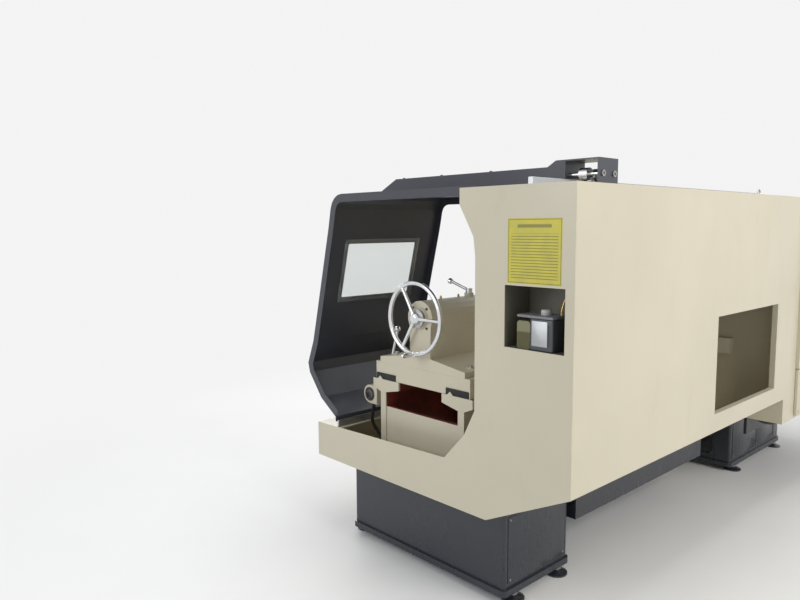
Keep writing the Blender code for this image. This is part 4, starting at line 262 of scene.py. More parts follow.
pale_plastic = plastic("pale_plastic", (0.60, 0.60, 0.57))
red_plastic = plastic("red_plastic", (0.52, 0.016, 0.014), 0.30, 0.1)
green_plastic = plastic("green_plastic", (0.015, 0.26, 0.06), 0.30, 0.1)
yellow_plastic = plastic("yellow_plastic", (0.72, 0.50, 0.02), 0.36, 0.1)
fastener = ground("zinc_screws", (0.46, 0.46, 0.45), 0.30)
carbide = ground("carbide", (0.50, 0.38, 0.14), 0.25)
brass = ground("brass", (0.60, 0.43, 0.17), 0.25)


def end_panel_material():
    """The cream end panel: painted shade inside its pocket, with a plain ruled yellow plate above it."""
    g = painted("end_panel_enamel", CREAM_TONE)
    x, y, z = g.split()
    left, right, low, high = 0.483, 0.721, 1.330, 1.568

    def patch(sides, foot, head):
        """1 on the plate's area this far in from its sides, its lower edge and its upper edge."""
        return g.product(g.within(y, left + sides, right - sides), g.within(z, low + foot, high - head))

    # Painted shade: behind the panel's face, the pocket's inside is coloured a darker olive-grey than the cream
    pocket = g.math("LESS_THAN", x, TAIL - 0.0032)
    base = g.mix(pocket, g.now("Base Color"), (0.150, 0.142, 0.108))
    on_face = g.math("GREATER_THAN", x, TAIL - 0.001)
    plate = g.product(patch(0, 0, 0), on_face)
    faded = g.mix(g.ramp(g.noise(18, 4), 0.4, 0.7), (0.60, 0.53, 0.055), (0.50, 0.45, 0.075))
    base = g.mix(plate, base, faded)
    rim, inner = g.product(plate, patch(0.003, 0.003, 0.003)), g.product(patch(0.006, 0.006, 0.006), plate)
    line = g.math("SUBTRACT", rim, inner)
    rules = g.product(g.marks(z, 1 / 0.0108, 0.30), g.product(patch(0.016, 0.014, 0.055), on_face))
    heading = g.product(patch(0.045, 0.204, 0.022), on_face)
    marks = g.math("MAXIMUM", line, g.math("MAXIMUM", rules, heading))
    g.to("Base Color", g.mix(g.product(marks, 0.72), base, (0.13, 0.12, 0.03)))
    g.to("Normal", g.bump(plate, 0.5, 0.0012, g.now("Normal")))
    return g


def bed_material():
    """The bed casting: ground way tops, red oxide inside, cream outside."""
    g = painted("bed_casting", CREAM_TONE, 0.46, 0.4, 0.6, 0.9)
    x, y, z = g.split()
    offset = g.math("ABSOLUTE", g.math("SUBTRACT", y, AXIS_Y))
    inside = g.product(g.math("LESS_THAN", offset, 0.2355), g.within(x, -1.46, 1.5498))
    oxide = g.mix(g.ramp(g.noise(16, 5), 0.35, 0.7), (0.235, 0.040, 0.024), (0.120, 0.022, 0.015))
    base = g.mix(inside, g.now("Base Color"), oxide)
    upward = g.split(g.node("ShaderNodeNewGeometry", {}).outputs["True Normal"])["Z"]
    top = g.product(g.math("GREATER_THAN", z, WAY_TOP - 0.0008), g.math("GREATER_THAN", upward, 0.3))
    lay = g.noise(3, 4, g.scaled((4, 260, 260)))
    bare = g.mix(g.ramp(lay, 0.3, 0.7), (0.56, 0.57, 0.58), (0.36, 0.36, 0.36))
    g.to("Base Color", g.mix(top, base, bare))
    g.to("Metallic", top)
    sheen = g.node("ShaderNodeMix", {0: top, 2: g.now("Roughness"), 3: 0.24}, data_type="FLOAT")
    g.to("Roughness", sheen.outputs[0])
    return g


def screw_material():
    """A ball screw: bright ground crests, darker towards the bottom of the groove between them."""
    g = ground("ball_screw", (0.50, 0.51, 0.52), 0.18, (4, 120, 120))
    x, y, z = g.split()
    radius = g.length(g.math("SUBTRACT", y, SCREW_Y), g.math("SUBTRACT", z, SCREW_Z))
    crest = g.ramp(radius, 0.0170, 0.0196)
    g.to("Base Color", g.mix(crest, (0.17, 0.16, 0.14), g.now("Base Color")))
    return g


def dial_material():
    """Black with plain white graduations round its edge, and no numbers."""
    g = plastic("dial_face", BLACK_PLASTIC_TONE)
    x, y, z = g.split()
    middle = centre_of("pulse_dial")
    across, up = g.math("SUBTRACT", x, middle.x), g.math("SUBTRACT", z, middle.z)
    radius, turn = g.length(across, up), g.turn(across, up)
    short = g.product(g.marks(turn, 100, 0.28), g.within(radius, 0.027, 0.0325))
    tenth = g.product(g.marks(turn, 10, 0.07), g.within(radius, 0.023, 0.0325))
    g.to("Base Color", g.mix(g.math("MAXIMUM", short, tenth), g.now("Base Color"), (0.75, 0.75, 0.72)))
    return g


def glass_material():
    g = Graph("clear_sheet", (0.86, 0.90, 0.89), 0.06)
    g.put("Transmission Weight", 0.92)
    g.put("IOR", 1.45)
    g.to("Roughness", g.ramp(g.noise(20, 5), 0.4, 0.8, 0.04, 0.16))
    return g


def reservoir_material():
    """Translucent olive plastic, darker below where the oil stands."""
    g = Graph("olive_reservoir", (0.20, 0.19, 0.075), 0.24)
    level = g.ramp(g.split()["Z"], 1.150, 1.156)
    g.to("Base Color", g.mix(level, (0.115, 0.105, 0.030), (0.30, 0.29, 0.16)))
    g.put("Transmission Weight", 0.25)
    g.put("Subsurface Weight", 0.15)
    g.to("Normal", g.bump(g.noise(60, 3), 0.2, 0.0006))
    return g


def screen_material():
    g = Graph("dark_screen", (0.010, 0.012, 0.016), 0.08)
    g.put("Coat Weight", 0.8)
    g.to("Roughness", g.ramp(g.noise(25, 5), 0.4, 0.8, 0.06, 0.20))
    return g


# Shapes


def centre_of(node):
    low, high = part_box(node)
    return (low + high) / 2


def angles(count, start=0):
    """Equal steps round a circle, in radians, from a start in degrees."""
    return [math.radians(start) + 2 * math.pi * step / count for step in range(count)]


def around(count, start=0):
    """Unit directions at equal steps round the X axis, from a start in degrees."""
    return [Vector((0, math.cos(angle), math.sin(angle))) for angle in angles(count, start)]


def smoothed(mesh, angle):
    mesh.shade_smooth()
    mesh.set_sharp_from_angle(angle=math.radians(angle))


def disc(radius, height):
    """The profile of a plain disc."""
    return ((0, 0), (radius, 0), (radius, height), (0, height))


def washer(inner, outer, height):
    """The profile of a plain ring, to be turned closed."""
    return ((inner, 0), (outer, 0), (outer, height), (inner, height))


def rounded_rectangle(width, height, radius, steps=5):
    points = []
    across, up = width / 2 - radius, height / 2 - radius
    for cx, cy, start in ((across, up, 0), (-across, up, 90), (-across, -up, 180), (across, -up, 270)):
        for step in range(steps + 1):
            angle = math.radians(start + 90 * step / steps)
            points.append((cx + radius * math.cos(angle), cy + radius * math.sin(angle)))
    return points


class Form:
    """A mesh in the making: its methods add shapes to it, and piece() makes it a piece of the scene."""

    def __init__(self):
        self.bm = bmesh.new()

    def ring(self, points):
        return [self.bm.verts.new(point) for point in points]

    def skin(self, rings, *caps):
        """Faces from each ring to the next, fanned where a ring is one point, after the caps' own faces."""
        made = [self.bm.faces.new(cap) for cap in caps]
        for low, high in zip(rings, rings[1:]):
            count = max(len(low), len(high))
            for step in range(count if count > 1 else 0):
                after = (step + 1) % count
                corners = (low[step % len(low)], low[after % len(low)], high[after % len(high)], high[step % len(high)])
                made.append(self.bm.faces.new(list(dict.fromkeys(corners))))
        bmesh.ops.recalc_face_normals(self.bm, faces=made)
        return made

    def bevel(self, edges, offset, segments):
        sizes = {"offset": offset, "segments": segments, "profile": 0.5}
        return bmesh.ops.bevel(self.bm, geom=edges, affect="EDGES", clamp_overlap=True, **sizes)["faces"]

    def box(self, low, high, edge=0.0, segments=2):
        """A box with rounded edges, between two corners."""
        low, high = Vector(low), Vector(high)
        new = bmesh.ops.create_cube(self.bm, size=1)["verts"]
        bmesh.ops.transform(self.bm, matrix=Matrix.Diagonal(high - low).to_4x4(), verts=new)
        if edge:
            faces = self.bevel(list({e for v in new for e in v.link_edges}), edge, segments)
            new = list({v for f in faces for v in f.verts} | {v for v in new if v.is_valid})
        bmesh.ops.transform(self.bm, matrix=Matrix.Translation((low + high) / 2), verts=new)
        return self

    def turned(self, profile, centre, direction, sides=48, closed=False):
        """A profile of (radius, height) turned about a line through a point."""
        centre, turn = Vector(centre), Vector(direction).to_track_quat("Z", "Y").to_matrix()
        rings = []
        for radius, height in profile:
            steps = angles(sides if radius else 1)
            spots = [(radius * math.cos(angle), radius * math.sin(angle), height) for angle in steps]
            rings.append(self.ring(centre + turn @ Vector(spot) for spot in spots))
        self.skin(rings + rings[:1] if closed else rings)
        return self

    def tube(self, points, radius, sides=16, caps=True):
        """A round bar along its points, its radius one number or one for each point."""
        points = [Vector(point) for point in points]
        radii = radius if isinstance(radius, (list, tuple)) else [radius] * len(points)
        rings = []
        side = None
        for index, point in enumerate(points):
            ahead = (points[min(index + 1, len(points) - 1)] - points[max(index - 1, 0)]).normalized()
            side = ahead.orthogonal().normalized() if side is None else side
            side = (side - ahead * side.dot(ahead)).normalized()
            up = ahead.cross(side)
            steps = angles(sides)
            rings.append(self.ring(point + (side * math.cos(a) + up * math.sin(a)) * radii[index] for a in steps))
        self.skin(rings, *((list(reversed(rings[0])), rings[-1]) if caps else ()))
        return self

    def outline(self, points, low, high, origin, along, across, out, edge=0.0):
        """A flat outline (along, across) drawn out from low to high in the direction out."""
        spots = [Vector(origin) + along * u + across * v for u, v in points]
        lower, upper = (self.ring(spot + out * height for spot in spots) for height in (low, high))
        made = self.skin((lower, upper), lower, upper)
        if edge:
            self.bevel(list(made[1].edges), edge, 2)
        return self

    def frame(self, outer, inner, low, high, origin, along, across, out):
        """A flat frame between two outlines with the same number of points."""
        rows = []
        for points, height in ((outer, low), (outer, high), (inner, high), (inner, low)):
            rows.append(self.ring(origin + along * u + across * v + out * height for u, v in points))
        self.skin(rows + rows[:1])
        return self

    def bolt(self, place, out, radius=0.006, height=0.0045, kind="hex"):
        """A bolt head on a face: a hexagon on its washer, or a socket screw with its hexagon hole."""
        shoulder = (radius, height * 0.85)
        if kind == "hex":
            head = ((0, height * 0.2), (radius, height * 0.2), shoulder, (radius * 0.88, height), (0, height))
            return self.turned(disc(radius * 1.25, height * 0.22), place, out, 20).turned(head, place, out, 6)
        bore = radius * 0.50
        head = ((0, 0), (radius, 0), shoulder, (radius * 0.90, height), (bore, height), (bore, height * 0.4))
        return self.turned((*head, (0, height * 0.4)), place, out, 18)

    def louvre(self, centre, along, out, length, depth=0.006, height=0.012):
        """One pressed louvre: a half-round hood over its slot."""
        up = out.cross(along)
        up = -up if up.z < 0 else up
        rows = []
        for step in range(9):
            share = step / 8
            reach = math.sin(math.pi * share) ** 0.55
            place = Vector(centre) + along * ((share - 0.5) * length)
            section = ((0.5, 0), (0.05, depth * 0.75 * reach), (-0.5, depth * reach), (-0.5, 0))
            rows.append(self.ring(place + up * height * rise + out * (LIFT + bulge) for rise, bulge in section))
        made = self.skin(rows) + [self.bm.faces.new(rows[0]), self.bm.faces.new(rows[-1])]
        bmesh.ops.recalc_face_normals(self.bm, faces=made)
        return self

    def piece(self, name, graph, body, slot, replaced=None, sharp=SHARP):
        """The finished mesh as a piece that rides on a body, beside the CAD nodes or in the place of one."""
        mesh = bpy.data.meshes.new(name)
        self.bm.to_mesh(mesh)
        self.bm.free()
        smoothed(mesh, sharp)
        mesh.materials.append(graph.material)
        obj = bpy.data.objects.new(name, mesh)
        bpy.context.scene.collection.objects.link(obj)
        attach(obj, body)
        if replaced:
            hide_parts(replaced)


def bolts(name, places, out, body, radius=0.006, height=0.0045, kind="hex", graph=fastener):
    form = Form()
    for place in places:
        form.bolt(place, out, radius, height, kind)
    form.piece(name, graph, body, "ground_steel")


# Finishes of the frame's own nodes

end_panel_paint = end_panel_material()
bed_paint = bed_material()
ball_screw = screw_material()
dial_face = dial_material()
clear = glass_material()
olive = reservoir_material()
screen_glass = screen_material()

FINISHES = {
    cream: "chip_tray rear_guard cabinet_shell cabinet_door end_cover head_cover headstock control_box saddle "
    "tailstock_base tailstock_body screw_bracket_tail screw_bracket_head",
    end_panel_paint: "end_panel",
    bed_paint: "bed bed_head",
    charcoal: "hood_shell hood_beam",
    pedestal_paint: "pedestal_tail pedestal_head coolant_tank",
    black: "x_motor z_motor",
    dark_grey: "main_motor coolant_pump lubricator",
    steel: "cross_slide top_rail bottom_rail turret_head chuck_jaw_a chuck_jaw_b chuck_jaw_c",
    steel_turned: "spindle chuck_body x_screw quill live_centre",
    ball_screw: "z_screw",
    bright: "hood_handle hood_roller_a hood_roller_b handwheel crank_handle quill_lever clamp_lever",
    iron: "spindle_pulley motor_pulley turret_base",
    zinc: "control_gear",
    rubber: "drive_belt conduit",
    red_plastic: "stop_button emergency_stop",
    green_plastic: "start_button",
    black_plastic: "override_knob cabinet_latch",
    dial_face: "pulse_dial",
    olive: "lubricator_reservoir",
    clear: "hood_window",
}
for graph, names in FINISHES.items():
    for name in names.split():
        mesh = nodes[name].data
        mesh.materials.clear()
        mesh.materials.append(graph.material)
        smoothed(mesh, SHARP)


# Handwheel, crank and tailstock


def handwheel():
    """The tailstock's chromed handwheel: dished round rim, three tapered spokes, hub, nut and feed screw."""
    centre = Vector((1.59, AXIS_Y, AXIS_Z))
    radius, rim = 0.160, 0.0108
    wheel = Form()
    circle = [(radius + rim * math.cos(angle), rim * math.sin(angle)) for angle in angles(18)]
    wheel.turned(circle, centre, X, 96, True)
    hub = ((0, 0.0138), (0.006, 0.0138), (0.0065, 0.0118), (0.0165, 0.0118), (0.0195, 0.0095), (0.0255, 0.004))
    feed_screw = ((0.0275, -0.002), (0.0275, -0.0235), (0.0150, -0.0245), (0.0150, -0.2895), (0, -0.2895))
    wheel.turned((*hub, *feed_screw), centre, X, 48)
    wheel.turned(((0, 0.011), (0.0105, 0.011), (0.0105, 0.0136), (0, 0.0136)), centre, X, 6)
    for out in around(3):
        shares = (0, 0.15, 0.5, 0.85, 1)
        spoke = [centre + out * (0.018 + (radius - 0.022) * share) - X * 0.004 * (1 - share) for share in shares]
        wheel.tube(spoke, [0.0105, 0.0092, 0.0080, 0.0076, 0.0088], 18)
    foot = centre - Z * radius
    boss = ((0.0052, 0.0128), (0.0120, 0.0128), (0.0145, 0.0105), (0.0145, -0.008), (0.0120, -0.0105))
    wheel.turned((*boss, (0.0052, -0.0105)), foot, X, 32, True)
    wheel.piece("handwheel_turned", bright, "handwheel", "chrome", "handwheel", 40)
    grip = [(0, -0.0140), (0.005, -0.0140), (0.005, 0), (0.0086, 0.0), (0.0090, 0.002)]
    for step in range(13):
        share = step / 12
        grip.append((0.0082 + 0.0040 * math.sin(math.pi * (0.12 + 0.80 * share)) ** 1.3, 0.004 + 0.056 * share))
    grip += [(0.0080, 0.0635), (0.0052, 0.0655), (0, 0.0658)]
    handle = Form().turned(grip, foot + X * 0.0133, X, 36)
    handle.piece("crank_grip", bright, "crank", "chrome", "crank_handle", 40)


def graduated_collar():
    """The micrometer collar between the tailstock and its handwheel, with plain engraved graduations."""
    g = ground("engraved_collar", (0.50, 0.50, 0.50), 0.28, TURNED_LAY)
    x, y, z = g.split()
    turn = g.turn(g.math("SUBTRACT", y, AXIS_Y), g.math("SUBTRACT", z, AXIS_Z))
    every = g.product(g.marks(turn, 100, 0.22), g.math("LESS_THAN", x, 1.5715))
    tenth = g.product(g.marks(turn, 10, 0.03), g.math("LESS_THAN", x, 1.5745))
    g.to("Base Color", g.mix(g.math("MAXIMUM", every, tenth), g.now("Base Color"), (0.02, 0.02, 0.02)))
    profile = ((0.0283, 1.5665), (0.0400, 1.5665), (0.0430, 1.5775), (0.0415, 1.5790), (0.0283, 1.5790))
    collar = Form().turned(profile, (0, AXIS_Y, AXIS_Z), X, 72, True)
    collar.piece("graduated_collar", g, "handwheel", "chrome")


def wipers(name, node, body, half, height, low, high):
    """Rubber wipers on both ends of a node, one over each way and notched for its vee."""
    form = Form()
    node_low, node_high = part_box(node)
    foot, head, notch = WAY_TOP + 0.0012, WAY_TOP + height, 0.0188
    for x, out in ((node_low.x, -X), (node_high.x, X)):
        for side, vee in zip((1, -1), VEES):
            left, right = AXIS_Y + side * WAY_MIDDLE - half, AXIS_Y + side * WAY_MIDDLE + half
            outline = [(left, foot), (vee - notch, foot), (vee, foot + 0.0162), (vee + notch, foot)]
            outline += [(right, foot), (right, head), (left, head)]
            form.outline(outline, low, high, Vector((x, 0, 0)), Y, Z, out, 0.0008)
    form.piece(name, rubber, body, "rubber")


def tailstock_details():
    """The clamp bolts on their pads, the wipers, the oil cups and the rear cap's screws."""
    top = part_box("tailstock_base")[1].z
    spots = [(x, y) for y in (AXIS_Y - 0.236, AXIS_Y + 0.236) for x in (1.20, 1.34, 1.48)]
    pads = Form()
    for x, y in spots:
        pads.turned(((0, 0), (0.0185, 0), (0.0165, 0.0120), (0, 0.0120)), (x, y, top + 0.0220), Z, 36)
    pads.piece("tailstock_pads", cream, "tailstock", "cream")
    bolts("tailstock_bolts", [(x, y, top + 0.0342) for x, y in spots], Z, "tailstock", 0.0100, 0.009)
    wipers("tailstock_wipers", "tailstock_base", "tailstock", 0.066, 0.030, LIFT, 0.0047)
    cup = ((0, 0), (0.006, 0), (0.006, 0.006), (0.0045, 0.008), (0.0045, 0.012), (0.0025, 0.0145), (0, 0.015))
    cups = Form()
    for x in (1.30, 1.42):
        cups.turned(cup, (x, AXIS_Y, AXIS_Z + 0.0776), Z, 20)
    cups.piece("oil_cups", brass, "tailstock", "ground_steel")
    places = [Vector((1.5549, AXIS_Y, AXIS_Z)) + out * 0.062 for out in around(4, 45)]
    bolts("rear_cap_screws", places, X, "tailstock", 0.0055, 0.005, "socket", dark_steel)


# The guard's end pocket


def lubricator():
    """The lubricator's pump housing under a broad grey lid with its filler cap, a bare plate and its fittings."""
    low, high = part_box("lubricator")
    rear, front = high.x - 0.108, high.x - 0.002
    left, right, foot = low.y, high.y, low.z
    housing = Form().box((rear, left + 0.001, foot + 0.0005), (front, right, foot + 0.118), 0.006, 3)
    housing.box((1.5235, left - 0.014, foot + 0.020), (rear + 0.004, right + 0.014, foot + 0.090), 0.002)
    for index in range(6):
        y = right - 0.016 - index * 0.0035
        housing.box((front - 0.001, y, foot + 0.02), (front + 0.0012, y + 0.0016, foot + 0.10), GAP, 1)
    housing.piece("lubricator_housing", dark_grey, "frame", "dark_grey", "lubricator")
    lid_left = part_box("lubricator_reservoir")[0].y + 0.001
    lid = Form().box((rear - 0.002, lid_left, foot + 0.1185), (front, right, foot + 0.1285), 0.003, 3)
    lid.piece("lubricator_lid", grey_plastic, "frame", "dark_grey")
    lid_top = foot + 0.1288
    profile = ((0, 0), (0.0185, 0), (0.0195, 0.002), (0.0195, 0.016), (0.0175, 0.019), (0.008, 0.0205), (0, 0.0205))
    cap = Form().turned(profile, (rear + 0.060, left + 0.040, lid_top), Z, 48)
    cap.piece("filler_cap", pale_plastic, "frame", "olive_plastic")
    middle = Vector((front + GAP, (left + right) / 2 - 0.006, foot + 0.064))
    metal = ground("bare_plate", (0.42, 0.43, 0.44), 0.34, (4, 4, 220))
    plate = Form().outline(rounded_rectangle(0.068, 0.092, 0.003), 0, 0.0012, middle, Y, Z, X, GAP)
    plate.piece("bare_plate", metal, "frame", "ground_steel")
    rivets = Form()
    for y in (-0.029, 0.029):
        for z in (-0.041, 0.041):
            head = ((0, 0), (0.0022, 0), (0.0018, 0.0008), (0, 0.0011))
            rivets.turned(head, middle + Vector((0.001, y, z)), X, 14)
    rivets.piece("plate_rivets", fastener, "frame", "ground_steel")
    start = Vector((rear + 0.030, right - 0.016, lid_top))
    nut = ((0, 0), (0.0065, 0), (0.0065, 0.008), (0.0045, 0.010), (0.0045, 0.016), (0, 0.016))
    route = [start + Z * 0.010]
    for step in range(1, 17):
        share = step / 16
        lift = 0.012 + 0.068 * math.sin(math.pi * 0.5 * min(1, share * 1.5))
        route.append(start + Vector((-0.030 * share**2 - 0.030 * share, 0.022 * share, lift)))
    pipe = Form().turned(nut, start, Z, 6).tube(route, 0.0030, 12)
    pipe.piece("oil_pipe", brass, "frame", "ground_steel")


# Hood: window, seals, carrier and rollers


def hood_details():
    """The window's frame, gasket and screws, the handle's flanges, the beam's bolts and the rollers' nuts."""
    upper, lower = Vector((0, -0.623, 1.5372)), Vector((0, -0.732, 1.0992))
    up = (upper - lower).normalized()
    normal = Vector((0, -up.z, up.y))
    middle = (upper + lower) / 2
    low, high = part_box("hood_shell")
    centre = middle + X * ((low.x + high.x) / 2)
    sizes = (
        ("window_frame", dark_steel, "charcoal", (0.512, 0.332, 0.018), (0.474, 0.294, 0.010), 0.0004, 0.0034),
        ("window_gasket", rubber, "rubber", (0.477, 0.297, 0.011), (0.464, 0.284, 0.008), -0.0028, 0.0030),
    )
    for name, graph, slot, outer, inner, under, over in sizes:
        outlines = rounded_rectangle(*outer), rounded_rectangle(*inner)
        Form().frame(*outlines, under, over, centre, X, up, normal).piece(name, graph, "hood", slot)
    spots = [(u, v) for u in (-0.246, -0.082, 0.082, 0.246) for v in (-0.157, 0.157)]
    spots += [(u, v) for v in (-0.078, 0.078) for u in (-0.246, 0.246)]
    places = [centre + X * u + up * v + normal * 0.0035 for u, v in spots]
    bolts("window_screws", places, normal, "hood", 0.0042, 0.0022, "socket")
    flange = ((0.0114, 0), (0.0200, 0), (0.0200, 0.003), (0.0150, 0.0065), (0.0114, 0.0070))
    flanges = Form()
    for along in (-0.16, 0.16):
        place = middle + X * centre_of("hood_handle").x + up * along + normal * GAP
        flanges.turned(flange, place, normal, 36, True)
    flanges.piece("handle_flanges", bright, "hood", "chrome")
    roof = high.z
    beam_low, beam_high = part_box("hood_beam")
    sides = (beam_low.x + 0.022, beam_high.x - 0.022)
    beam_bolts = Form()
    for y in (-0.46, -0.20, 0.10):
        for x in sides:
            beam_bolts.bolt((x, y, roof + 0.0803), Z, 0.007, 0.0055)
    beam_bolts.piece("beam_bolts", dark_steel, "hood", "charcoal")
    nuts = Form()
    for roller in ("hood_roller_a", "hood_roller_b"):
        axle = centre_of(roller)
        for y, out in ((0.650, Y), (0.492, -Y)):
            nuts.turned(washer(0.0081, 0.0135, 0.005), Vector((axle.x, y, axle.z)) + out * GAP, out, 6, True)
    nuts.piece("axle_nuts", fastener, "hood", "ground_steel")


# Turret and chuck


def turret():
    """The four-way tool post with its clamp screws, its tools and their inserts."""
    centre = centre_of("turret_head").xy.to_3d()
    head_low, head_top = 1.0750, 1.1850
    slot_low = AXIS_Z - 0.0253
    half, depth = 0.100, 0.034
    block = Form()
    slabs = ((half, head_low, slot_low, 0.003), (half - depth, slot_low - 0.002, slot_low + 0.040, 0))
    for reach, low, high, edge in (*slabs, (half, slot_low + 0.037, head_top, 0.003)):
        block.box(centre + Vector((-reach, -reach, low)), centre + Vector((reach, reach, high)), edge)
    clamp = ((0, 0), (0.034, 0), (0.034, 0.004), (0.027, 0.008), (0.024, 0.008), (0.024, 0.020), (0.021, 0.0235))
    block.turned((*clamp, (0, 0.0235)), centre + Z * head_top, Z, 48)
    block.piece("turret_block", dark_steel, "turret", "ground_steel", "turret_head")
    screws, tips, shanks = Form(), Form(), Form()
    end, inner = half + 0.033, half - depth + 0.0006
    tail, back = end - 0.150, inner + 0.025
    shank = ((tail, inner), (end, inner), (end, inner + 0.0088), (end - 0.020, back), (tail, back))
    insert = ((end - 0.016, inner - GAP), (end + 0.0015, inner - GAP), (end - 0.002, inner + 0.0125))
    for index in range(4):
        turn = Matrix.Rotation(index * math.pi / 2, 3, "Z")
        for u in (-0.066, -0.012, 0.042):
            place = centre + turn @ Vector((u, half - 0.017, 0))
            screws.bolt(place + Z * (head_top + 0.0001), Z, 0.0075, 0.012, "socket")
            screws.turned(disc(0.0055, 0.0144), place + Z * (slot_low + 0.0256), Z, 16)
        along, across = turn @ X, turn @ Y
        shanks.outline(shank, slot_low + GAP, slot_low + 0.0253, centre, along, across, Z, 0.0008)
        tips.outline(insert, slot_low + 0.0206, slot_low + 0.0257, centre, along, across, Z, 0.0004)
        place = centre + turn @ Vector((end - 0.006, inner + 0.004, 0)) + Z * (slot_low + 0.0257)
        shanks.bolt(place, Z, 0.0022, 0.0012, "socket")
    screws.piece("clamp_screws", fastener, "turret", "ground_steel")
    shanks.piece("tool_shanks", dark_steel, "turret", "ground_steel")
    tips.piece("tool_inserts", carbide, "turret", "ground_steel")


def chuck():
    """The chuck's key sockets, the band round its rim and its face screws."""
    low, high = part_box("chuck_body")
    axis = Vector((0, AXIS_Y, AXIS_Z))
    sockets = Form()
    places = []
    for out in around(3, 150):
        centre = axis + X * (low.x + 0.045) + out * 0.1236
        sockets.turned(washer(0.0075, 0.0130, 0.0016), centre, out, 32, True)
        places += [axis + X * (high.x + LIFT) + out * reach for reach in (0.095, 0.052)]
    band = ((0.1249, 0.0), (0.1256, 0.0005), (0.1256, 0.004), (0.1249, 0.0045))
    sockets.turned(band, axis + X * (low.x + 0.078), X, 96, True)
    sockets.piece("chuck_sockets", dark_steel, "spindle", "ground_steel")
    bolts("chuck_screws", places, X, "spindle", 0.0075, 0.004, "socket", dark_steel)


# Control box


def control_box():
    """The screen, bezel, key rows and button collars of the control box, all without lettering."""
    low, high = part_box("control_box")
    face, head = low.y, high.z - 0.05
    screen_left, screen_width, keys_width, tall = low.x + 0.05, 0.230, 0.200, 0.175
    keys_left, foot = screen_left + screen_width + 0.04, head - tall
    centre = Vector((screen_left + screen_width / 2, face + 0.0055, head - tall / 2))
    screen = Form().outline(rounded_rectangle(0.214, 0.160, 0.004), 0, 0.0022, centre, X, Z, -Y, 0.0004)
    screen.piece("screen_panel", screen_glass, "frame", "black_plastic")
    outlines = rounded_rectangle(0.229, 0.174, 0.004), rounded_rectangle(0.212, 0.158, 0.004)
    bezel = Form().frame(*outlines, 0, 0.0042, centre + Y * LIFT, X, Z, -Y)
    bezel.piece("screen_bezel", black_plastic, "frame", "black_plastic")
    plain, accent = Form(), Form()
    columns, rows, half = 7, 6, 0.0105
    for row in range(rows):
        for column in range(columns):
            x = keys_left + (column + 0.5) * keys_width / columns
            z = foot + (row + 0.5) * tall / rows
            form = accent if (row, column) in ((0, 0), (0, 6), (2, 6), (5, 0)) else plain
            form.box((x - half, face - 0.0012, z - half), (x + half, face + 0.0026, z + half), 0.0015)
    plain.piece("keycaps", pale_plastic, "frame", "black_plastic")
    accent.piece("accent_keycaps", grey_plastic, "frame", "black_plastic")
    soft = Form()
    for index in range(7):
        x = screen_left + 0.020 + index * 0.0318
        soft.box((x - 0.010, face - 0.0022, foot - 0.026), (x + 0.010, face, foot - 0.014), 0.001)
    soft.piece("soft_keys", grey_plastic, "frame", "black_plastic")

    def collar(form, button, profile, sides):
        place = centre_of(button)
        form.turned(profile, (place.x, face - LIFT, place.z), -Y, sides, True)

    collars = Form()
    ring = ((0.0116, 0), (0.0155, 0), (0.0155, 0.0035), (0.0140, 0.0050), (0.0116, 0.0050))
    for button in ("start_button", "stop_button"):
        collar(collars, button, ring, 40)
    collars.piece("button_collars", bright, "frame", "chrome")
    emergency = Form()
    ring = ((0.0100, 0), (0.0300, 0), (0.0300, 0.0014), (0.0285, 0.0020), (0.0100, 0.0020))
    collar(emergency, "emergency_stop", ring, 48)
    emergency.piece("emergency_collar", yellow_plastic, "frame", "red_plastic")
    corners = [(x, z) for x in (low.x + 0.018, high.x - 0.018) for z in (low.z + 0.055, high.z - 0.045)]
    bolts("control_screws", [(x, face - 0.0001, z) for x, z in corners], -Y, "frame", 0.004, 0.0022, "socket")


# Cabinet, covers and the rest of the sheet metal


def louvres(name, body, out, columns, y, heights, length):
    """Columns of pressed louvres in one sheet."""
    form = Form()
    for z in heights:
        for x in columns:
            form.louvre((x, y, z), X, out, length)
    form.piece(name, cream, body, "cream")


def cabinet_sheets():
    """The cabinet door's louvres and the screwed cover of the motor bay under it."""
    low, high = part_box("cabinet_door")
    x = (low.x + high.x) / 2
    heights = [block + row * 0.022 for block in (low.z + 0.10, high.z - 0.22) for row in range(6)]
    louvres("door_louvres", "cabinet_door", Y, (x - 0.11, x + 0.11), DOOR_FACE, heights, 0.17)
    foot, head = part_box("cabinet_shell")[0].z + 0.020, low.z - 0.006
    left, right = low.x + 0.004, high.x - 0.004
    cover = Form().box((left, REAR + GAP, foot), (right, DOOR_FACE, head), 0.0035, 3)
    cover.piece("motor_bay_cover", cream, "frame", "cream")
    heights = [foot + 0.075 + row * 0.024 for row in range(6)]
    louvres("motor_bay_louvres", "frame", Y, (x - 0.22, x, x + 0.22), DOOR_FACE, heights, 0.18)
    edge = 0.022
    places = [(u, DOOR_FACE + 0.0001, v) for u in (left + edge, x, right - edge) for v in (foot + edge, head - edge)]
    bolts("motor_bay_screws", places, Y, "frame", 0.0050, 0.0026, "socket")


